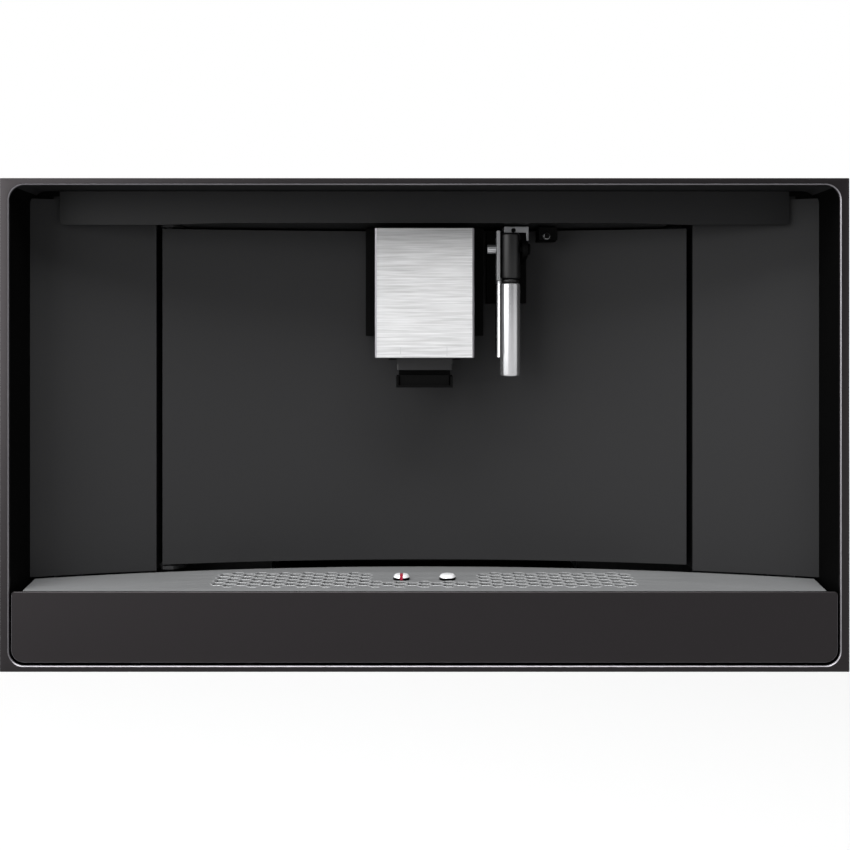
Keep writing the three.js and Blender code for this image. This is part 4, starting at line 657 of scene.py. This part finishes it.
def make_fascia():
    """The tray's front panel: a flat face inside a chamfer, with its sides and lower edge in bright
    metal as a painted highlight."""
    low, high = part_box("tray_fascia")
    radii = (9 * MM, 2 * MM)
    chamfer = 0.45 * MM

    def loop(inset, y):
        lower, upper = (max(radius - inset, 0.3 * MM) for radius in radii)
        outline = rounded(*grown(flat_box("tray_fascia"), -inset), (lower, upper), CORNER_STEPS)
        return upright(outline, y)

    loops = [
        loop(0.3 * MM, high.y),
        loop(0, high.y - 0.3 * MM),
        loop(0, low.y + chamfer),
        loop(chamfer, low.y),
    ]
    count = len(loops[0])
    points, faces = skin(loops, capped=True)
    # painted highlight: the faces round the sides and below take the bright edge metal
    bright = [
        number
        for number in range(2 * count, 3 * count)
        if min(points[corner][2] for corner in faces[number]) < high.z - radii[1]
    ]
    stand_in("tray_fascia", points, faces, trim=(EDGE_HIGHLIGHT, bright))


def cell_centres():
    """(x, y) of each hexagonal hole."""
    for column in range(-CELL_COLUMNS, CELL_COLUMNS + 1):
        staggered = column % 2
        x = 1.5 * CELL_SIDE * column
        for row in range(CELL_ROWS - staggered):
            depth = CELL_FRONT + math.sqrt(3) * CELL_SIDE * (row + staggered / 2)
            if abs(x) < NOTCH_HALF_WIDTH and depth > NOTCH_FRONT:
                continue
            yield x, FRONT + depth


def grate_outlines():
    """(x, y) outlines of the plate: its edge, then each hole."""
    low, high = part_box("drip_grate")
    arc = wall_arc(low.x, high.x, -PLATE_WALL_GAP)
    front_half = PLATE_FRONT_WIDTH / 2
    edge = [(front_half, low.y), (-front_half, low.y), *arc]
    cells = [circle(x, y, CELL_RADIUS, 6) for x, y in cell_centres()]
    studs = [circle(side * STUD_X, FRONT + STUD_DEPTH, STUD_HOLE, 40) for side in (-1, 1)]
    return [edge, *cells, *studs]


def make_rims():
    """A pressed rim round each hexagonal hole, standing a little above the plate, brighter than
    the plate: partly the pressing's polish, partly a painted highlight.
    """
    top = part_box("drip_grate")[1].z
    section = (
        (0.02 * MM, -0.3 * MM),
        (0.1 * MM, RIM_HEIGHT),
        (RIM_WIDTH - 0.25 * MM, RIM_HEIGHT),
        (RIM_WIDTH, -0.1 * MM),
    )
    rims = []
    for x, y in cell_centres():
        loops = [level(circle(x, y, CELL_RADIUS + out, 6), top + up) for out, up in section]
        rims.append(skin(loops, closed=True))
    add_piece("drip_plate_rims", *gathered(rims), COINED_HIGHLIT_STEEL, "tray", "tray_steel")


def make_grate():
    """The perforated plate, stamped from one outline, with a fine radius round each hole."""
    low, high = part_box("drip_grate")
    sheet = bpy.data.curves.new("drip_plate", "CURVE")
    sheet.dimensions = "2D"
    sheet.fill_mode = "BOTH"
    sheet.bevel_depth = PLATE_BEVEL
    sheet.bevel_resolution = 2
    sheet.offset = -PLATE_BEVEL
    sheet.extrude = (high.z - low.z) / 2 - PLATE_BEVEL
    for outline in grate_outlines():
        spline = sheet.splines.new("POLY")
        spline.points.add(len(outline) - 1)
        spline.use_cyclic_u = True
        for point, (x, y) in zip(spline.points, outline):
            point.co = (x, y, 0, 1)
    source = bpy.data.objects.new("drip_plate_outline", sheet)
    bpy.context.scene.collection.objects.link(source)
    shape = source.evaluated_get(bpy.context.evaluated_depsgraph_get())
    mesh = bpy.data.meshes.new_from_object(shape)
    bpy.data.objects.remove(source)
    bpy.data.curves.remove(sheet)
    mesh.transform(Matrix.Translation((0, 0, (low.z + high.z) / 2)))
    body = bmesh.new()
    body.from_mesh(mesh)
    bmesh.ops.remove_doubles(body, verts=body.verts, dist=0.002 * MM)
    body.to_mesh(mesh)
    body.free()
    smooth(mesh)
    mesh.materials.clear()
    mesh.materials.append(BLASTED_STEEL)
    plate = bpy.data.objects.new("drip_plate", mesh)
    bpy.context.scene.collection.objects.link(plate)
    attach(plate, "tray")
    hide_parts("drip_grate")


STUD_LEVELS = (
    # height above the plate and radius, from the neck below the plate to the flat top
    (-4.6 * MM, 4.7 * MM),
    (0.03 * MM, 4.7 * MM),
    (0.03 * MM, 5.9 * MM),
    (0.1 * MM, 6 * MM),
    (1.7 * MM, 6 * MM),
    (1.72 * MM, 5.9 * MM),
    (1.9 * MM, 6 * MM),
    (2.3 * MM, 5.9 * MM),
    (3.5 * MM, 5 * MM),
    (3.85 * MM, 4.6 * MM),
    (4 * MM, 4 * MM),
)
SHADE_BAND_LEVELS = (2, 3, 4)  # painted shade: the band between these levels and the next is black
VANE_SLOT = 2.3 * MM


def make_studs():
    """The two studs: a steep cap painted almost white as a highlight, over a band painted black as
    shade. The left one is split by the slot of the float's red vane."""
    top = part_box("drip_grate")[1].z
    steps = 48
    y = FRONT + STUD_DEPTH
    whole = [level(circle(STUD_X, y, radius, steps), top + up) for up, radius in STUD_LEVELS]
    shaded_band_faces = [ring * steps + i for ring in SHADE_BAND_LEVELS for i in range(steps)]
    stand_in("drain_stud", *skin(whole, capped=True), trim=(MOULDED_BLACK, shaded_band_faces))
    halves, shaded_band_faces = [], []
    for side in (-1, 1):
        loops = []
        for up, radius in STUD_LEVELS:
            spread = math.acos(VANE_SLOT / 2 / radius)
            arc = [spread * (2 * i / steps - 1) for i in range(steps + 1)]
            loops.append([
                (-STUD_X + side * radius * math.cos(a), y + radius * math.sin(a), top + up)
                for a in arc
            ])
        start = sum(len(faces) for _, faces in halves)
        shaded_band_faces += [start + ring * (steps + 1) + i for ring in SHADE_BAND_LEVELS for i in range(steps + 1)]
        halves.append(skin(loops, capped=True))
    stand_in("float_bezel", *gathered(halves), trim=(MOULDED_BLACK, shaded_band_faces))


make_fascia()
make_grate()
make_rims()
make_studs()

# ---- Spout -------------------------------------------------------------------------------------

# The two weld marks on the cover: X, lower end and upper end in millimetres
MARKS = {"left": (-17.5, 222.4, 227.4), "right": (16.4, 221, 228)}
MARK_SECTION = [  # half a millimetre wide and hardly proud of the cover
    (-0.3 * MM, -0.2 * MM),
    (-0.2 * MM, 0.01 * MM),
    (0.2 * MM, 0.01 * MM),
    (0.3 * MM, -0.2 * MM),
]
SHROUD_HALF = 20.8 * MM
SHROUD_WALL = 1.75 * MM
SHROUD_HEIGHT = 8.4 * MM


def make_cover():
    """The brushed cover: a folded sheet, open above and below, its rims and bends in bright
    metal as a painted highlight.
    """
    low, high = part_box("spout_front")
    bend, rim = 1.6 * MM, 0.45 * MM
    steps = 10

    def section(inset):
        x0, x1, front = low.x + inset, high.x - inset, low.y + inset
        arc = [
            (math.cos(math.pi / 2 * i / steps), math.sin(math.pi / 2 * i / steps))
            for i in range(steps + 1)
        ]
        left = [(x0 + bend * (1 - c), front + bend * (1 - s)) for c, s in arc]
        right = [(x1 - bend * (1 - c), front + bend * (1 - s)) for c, s in reversed(arc)]
        inner = [
            (high.x - SHEET, high.y),
            (high.x - SHEET, low.y + SHEET),
            (low.x + SHEET, low.y + SHEET),
            (low.x + SHEET, high.y),
        ]
        return [(x0, high.y), *left, *right, (x1, high.y), *inner]

    loops = [
        level(section(rim), low.z),
        level(section(0), low.z + rim),
        level(section(0), high.z - rim),
        level(section(rim), high.z),
    ]
    count = len(loops[0])
    bends = [
        count + i for half in (0, steps + 1) for i in range(half + 1, half + steps + 1)
    ]
    # painted highlight: the top and bottom rims and the two bends take the bright edge metal
    bright = [*range(count), *range(2 * count, 3 * count), *bends]
    stand_in("spout_front", *skin(loops, capped=True), trim=(EDGE_HIGHLIGHT, bright))
    for side, (x, *ends) in MARKS.items():
        mark = [[(x * MM + dx, low.y - dy, z * MM) for dx, dy in MARK_SECTION] for z in ends]
        add_piece(
            f"weld_mark_{side}",
            *skin(mark, capped=True),
            TURNED_STEEL,
            BODY_OF["spout_front"],
            "brushed_steel",
        )


def make_outlet_shroud():
    """A thin black shell round the sides and the bottom of the outlet."""
    low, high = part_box("outlet_block")
    half, wall, height = SHROUD_HALF, SHROUD_WALL, SHROUD_HEIGHT
    floor = low.z - 0.1 * MM
    outline = [
        (-half, floor + height),
        (-half, floor),
        (half, floor),
        (half, floor + height),
        (half - wall, floor + height),
        (half - wall, floor + wall),
        (-half + wall, floor + wall),
        (-half + wall, floor + height),
    ]
    add_piece(
        "outlet_shroud",
        *skin([upright(outline, low.y - 0.4 * MM), upright(outline, high.y)], capped=True),
        MOULDED_BLACK,
        BODY_OF["outlet_block"],
        "moulded_black",
    )


make_cover()
make_outlet_shroud()

# ---- Nozzle ------------------------------------------------------------------------------------

SLEEVE_BORE = 3 * MM
TUBE_SLANT = 0.4  # rise of the air tube's cut end over its width


def axis_of(node):
    """Middle x and y of an upright round node, and its radius."""
    low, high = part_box(node)
    return ((low.x + high.x) / 2, (low.y + high.y) / 2), (high.x - low.x) / 2


def make_sleeve():
    """The satin tube round the nozzle, with a rounded lip at each end."""
    centre, radius = axis_of("nozzle_sleeve")
    low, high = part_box("nozzle_sleeve")
    bore = SLEEVE_BORE
    profile = [
        (bore, low.z + 6 * MM),
        (bore, low.z + 0.6 * MM),
        (bore + 0.6 * MM, low.z),
        (radius - 1.2 * MM, low.z),
        (radius - 0.5 * MM, low.z + 0.2 * MM),
        (radius - 0.1 * MM, low.z + 0.7 * MM),
        (radius, low.z + 1.3 * MM),
        (radius, high.z - 0.6 * MM),
        (radius - 0.6 * MM, high.z),
        (bore, high.z),
        (bore, low.z + 6 * MM),
    ]
    stand_in("nozzle_sleeve", *turned(profile, centre, steps=96), material=SATIN_CHROME)


def make_air_tube():
    """The thin tube beside the nozzle: satin above the sleeve's top, polished beside it, and cut
    off at a slant."""
    centre, radius = axis_of("nozzle_air_tube")
    low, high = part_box("nozzle_air_tube")
    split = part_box("nozzle_sleeve")[1].z
    steps = 48
    heights = (None, split - 0.2 * MM, split, high.z - 0.5 * MM, high.z)
    radii = (radius, radius, radius, radius, radius - 0.5 * MM)
    loops = []
    for reach, height in zip(radii, heights):
        loops.append([
            (x, y, low.z + TUBE_SLANT * (y - centre[1] + radius) if height is None else height)
            for x, y in circle(*centre, reach, steps)
        ])
    satin = [*range(2 * steps, 4 * steps), 4 * steps + 1]
    stand_in(
        "nozzle_air_tube",
        *skin(loops, capped=True),
        material=CHROME,
        trim=(TURNED_STEEL, satin),
    )


def screw_head(centre, radius, height, way):
    """Points and faces of a domed head with a six-lobed recess, on an axis along Y; way is 1 or -1,
    the way that it looks."""
    steps = 48
    lobes = [1 + 0.16 * math.cos(6 * math.tau * i / steps) for i in range(steps)]
    rings = (
        (1.0, 0.0, False),
        (1.0, 0.35, False),
        (0.93, 0.65, False),
        (0.75, 0.9, False),
        (0.55, 1.0, False),
        (0.4, 1.0, True),
        (0.38, 0.25, True),
    )
    loops = []
    for share, up, lobed in rings:
        loop = []
        for i in range(steps):
            reach = radius * share * (lobes[i] if lobed else 1)
            angle = math.tau * i / steps
            x, y, z = centre
            x, z = x + reach * math.cos(angle), z + reach * math.sin(angle)
            loop.append((x, y + way * up * height, z))
        loops.append(loop)
    return skin(loops, capped=True)


def make_nozzle_fittings():
    """The bracket's screw, the cheek that the knob's pin goes through, and the connector's bright
    spigot."""
    low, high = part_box("nozzle_bracket")
    place = (67.0 * MM, low.y, high.z - 2.9 * MM)
    add_piece(
        "bracket_screw",
        *screw_head(place, 1.7 * MM, 1.0 * MM, -1),
        MOULDED_BLACK,
        "door",
        "moulded_black",
    )
    grip_low, grip_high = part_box("nozzle_grip")
    knob_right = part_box("nozzle_knob")[1].x
    tube_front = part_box("nozzle_air_tube")[0].y
    cheek = rounded(
        knob_right + 0.1 * MM,
        grip_low.z - 1 * MM,
        grip_low.x - 0.2 * MM,
        grip_high.z + 1.5 * MM,
        0.4 * MM,
        4,
    )
    add_piece(
        "nozzle_cheek",
        *skin(
            [upright(cheek, tube_front - 11 * MM), upright(cheek, tube_front - 0.3 * MM)],
            capped=True,
        ),
        PHOSPHATED_STEEL,
        BODY_OF["nozzle_grip"],
        "bright_steel",
        softened=0.2 * MM,
    )
    low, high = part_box("connector_block")
    x = (low.x + high.x) / 2 - 1.5 * MM
    z = low.z + 2.5 * MM
    root = low.y + 6 * MM
    ring = [
        (2.15 * MM, low.y - 0.2 * MM),
        (2.4 * MM, low.y),
        (2.4 * MM, root),
        (2.2 * MM, root),
        (2.15 * MM, low.y - 0.2 * MM),
    ]
    add_piece(
        "spigot_ferrule", *turned(ring, (z, x), "Y", 40), TURNED_STEEL, "door", "bright_steel"
    )


make_sleeve()
make_air_tube()
make_nozzle_fittings()

# ---- Casing fasteners --------------------------------------------------------------------------


def make_casing_screws():
    """The screws round the rear panel."""
    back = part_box("rear_panel")[1].y
    places = [(x, z) for x in (-262, -130, 0, 130, 262) for z in (14, 328)]
    places += [(-262, 170), (262, 170)]
    rear = [(x * MM, back, z * MM) for x, z in places]
    add_piece(
        "rear_screws",
        *gathered([screw_head(place, 3.2 * MM, 1.8 * MM, 1) for place in rear]),
        TURNED_STEEL,
        "chassis",
        "zinc_sheet",
    )


make_casing_screws()

# ---- Kept CAD nodes ----------------------------------------------------------------------------

WIDE_EDGES = {"drain_stud": 0.5 * MM, "water_tank": 0.8 * MM}

# The height below which a node is painted black as shade: under the outlet's grey face, and the
# hood's underside
UNLIT_BELOW = {
    "outlet_block": lambda low, high: high.z - 9.6 * MM,
    "hood_panel": lambda low, high: low.z + 0.3 * MM,
}


def dress(node):
    """A CAD node that stays: its material, welded facets and softened edges."""
    piece = frame["nodes"][node]
    piece.data.materials.clear()
    piece.data.materials.append(finish_of(node))
    # painted shade: faces below the line take the black material
    if node in UNLIT_BELOW:
        piece.data.materials.append(MOULDED_BLACK)
        line = UNLIT_BELOW[node](*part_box(node))
        for face in piece.data.polygons:
            face.material_index = int((piece.matrix_world @ face.center).z < line)
    for face in piece.data.polygons:
        face.use_smooth = True
    if "custom_normal" in piece.data.attributes:
        piece.data.attributes.remove(piece.data.attributes["custom_normal"])
    weld = piece.modifiers.new("one_skin", "WELD")
    weld.merge_threshold = 0.01 * MM
    soften(piece, WIDE_EDGES.get(node, EDGE))


for node in frame["nodes"]:
    if not frame["nodes"][node].hide_render:
        dress(node)

# ---- Studio ------------------------------------------------------------------------------------

ROOM_LEFT = 0.3  # the grey of the room in front of the machine, on its left and on its right
ROOM_RIGHT = 0.1
BACKDROP_START = 0.1  # the backdrop fills the directions whose Y is more than this
FLOOR_SIDE = 120.0
FLOOR_NEAR, FLOOR_FAR = 0.7, 2.4  # between these distances the floor's lift grows
FLOOR_LIFT = 0.5  # beside the machine; far from it, the lift is whole


def make_camera():
    """A level camera in front of the machine, at the picture's own scale at the front plane."""
    lens = bpy.data.cameras.new("camera")
    lens.sensor_width = SENSOR
    lens.sensor_fit = "HORIZONTAL"
    lens.lens = SENSOR * CAMERA_DISTANCE / (IMAGE_SIDE * CAMERA_PIXEL)
    lens.shift_x = (IMAGE_SIDE / 2 - MIDDLE_COLUMN) / IMAGE_SIDE
    lens.shift_y = (HORIZON_ROW - IMAGE_SIDE / 2) / IMAGE_SIDE
    camera = bpy.data.objects.new("camera", lens)
    camera.location = (0, FRONT - CAMERA_DISTANCE, CAMERA_HEIGHT)
    camera.rotation_euler = (math.radians(90), 0, 0)
    bpy.context.scene.collection.objects.link(camera)
    bpy.context.scene.camera = camera


def seen_rays(tree):
    """1 for the rays that the eye, a mirror or clear plastic looks along, otherwise 0."""
    path = put(tree, "ShaderNodeLightPath").outputs
    mirrored = put(
        tree,
        "ShaderNodeMath",
        {0: path["Is Glossy Ray"], 1: path["Is Transmission Ray"]},
        operation="MAXIMUM",
    ).outputs[0]
    return put(
        tree, "ShaderNodeMath", {0: path["Is Camera Ray"], 1: mirrored}, operation="MAXIMUM"
    ).outputs[0]


def make_floor():
    """A matt floor, which takes the machine's shadow. For the eye it is lifted towards white: by
    half beside the machine, and all the way where it meets the background."""
    half = FLOOR_SIDE / 2
    corners = [(-half, -half, 0), (half, -half, 0), (half, half, 0), (-half, half, 0)]
    mesh = bpy.data.meshes.new("floor")
    mesh.from_pydata(corners, [], [(0, 1, 2, 3)])
    material, tree = new_tree("pale_floor")
    matt = put(tree, "ShaderNodeBsdfDiffuse", {"Color": linear("#909090")})
    place = put(tree, "ShaderNodeTexCoord").outputs["Object"]
    away = put(tree, "ShaderNodeVectorMath", {0: place}, operation="LENGTH").outputs["Value"]
    share = put(
        tree,
        "ShaderNodeMapRange",
        {
            "Value": away,
            "From Min": FLOOR_NEAR,
            "From Max": FLOOR_FAR,
            "To Min": FLOOR_LIFT,
            "To Max": 1.0,
        },
    ).outputs[0]
    lift = put(tree, "ShaderNodeMath", {0: seen_rays(tree), 1: share}, operation="MULTIPLY")
    glow = put(tree, "ShaderNodeEmission", {"Color": linear("#ffffff"), "Strength": lift.outputs[0]})
    surface = put(tree, "ShaderNodeAddShader", {0: matt.outputs[0], 1: glow.outputs[0]})
    put(tree, "ShaderNodeOutputMaterial", {"Surface": surface.outputs[0]})
    mesh.materials.append(material)
    floor = bpy.data.objects.new("floor", mesh)
    bpy.context.scene.collection.objects.link(floor)


def make_world():
    """A white backdrop behind the machine, for the eye, for its mirrors and through its clear
    parts; in front of it a grey room that is lighter on the left."""
    world = bpy.data.worlds.new("studio")
    bpy.context.scene.world = world
    world.use_nodes = True
    tree = world.node_tree
    tree.nodes.clear()
    way = put(tree, "ShaderNodeTexCoord").outputs["Generated"]
    parts = put(tree, "ShaderNodeSeparateXYZ", {0: way}).outputs
    room = put(
        tree,
        "ShaderNodeMapRange",
        {"Value": parts["X"], "From Min": -1, "To Min": ROOM_LEFT, "To Max": ROOM_RIGHT},
    ).outputs[0]
    behind = put(tree, "ShaderNodeMath", {0: parts["Y"], 1: BACKDROP_START}, operation="GREATER_THAN")
    white = put(
        tree,
        "ShaderNodeMath",
        {0: seen_rays(tree), 1: behind.outputs[0]},
        operation="MULTIPLY",
    )
    strength = put(
        tree, "ShaderNodeMix", {0: white.outputs[0], 2: room, 3: 1.0}, data_type="FLOAT"
    ).outputs[0]
    sky = put(tree, "ShaderNodeBackground", {"Color": linear("#ffffff"), "Strength": strength})
    put(tree, "ShaderNodeOutputWorld", {"Surface": sky.outputs[0]})


def softbox(name, azimuth, elevation, distance, width, height, radiance, aim=(0, FRONT, 0.18)):
    """A soft lamp of that radiance, placed as seen from aim: azimuth from straight ahead, positive
    to the right."""
    a, e = math.radians(azimuth), math.radians(elevation)
    way = Vector((math.sin(a) * math.cos(e), -math.cos(a) * math.cos(e), math.sin(e)))
    data = bpy.data.lights.new(name, "AREA")
    data.shape = "RECTANGLE"
    data.size = width
    data.size_y = height
    data.energy = radiance * math.pi * width * height
    lamp = bpy.data.objects.new(name, data)
    lamp.location = Vector(aim) + way * distance
    lamp.rotation_euler = way.to_track_quat("Z", "Y").to_euler()
    bpy.context.scene.collection.objects.link(lamp)


make_camera()
make_floor()
make_world()
softbox("key_left", -52, 14, 2.2, 2.5, 1.7, 4.1)
softbox("front_soft", -4, 8, 2.6, 1.0, 1.2, 0.15)
softbox("top_soft", -8, 62, 1.9, 2.2, 0.9, 11)
softbox("side_right", 60, 10, 1.8, 1.4, 1.5, 0.5)

bpy.context.scene.view_settings.view_transform = "Standard"
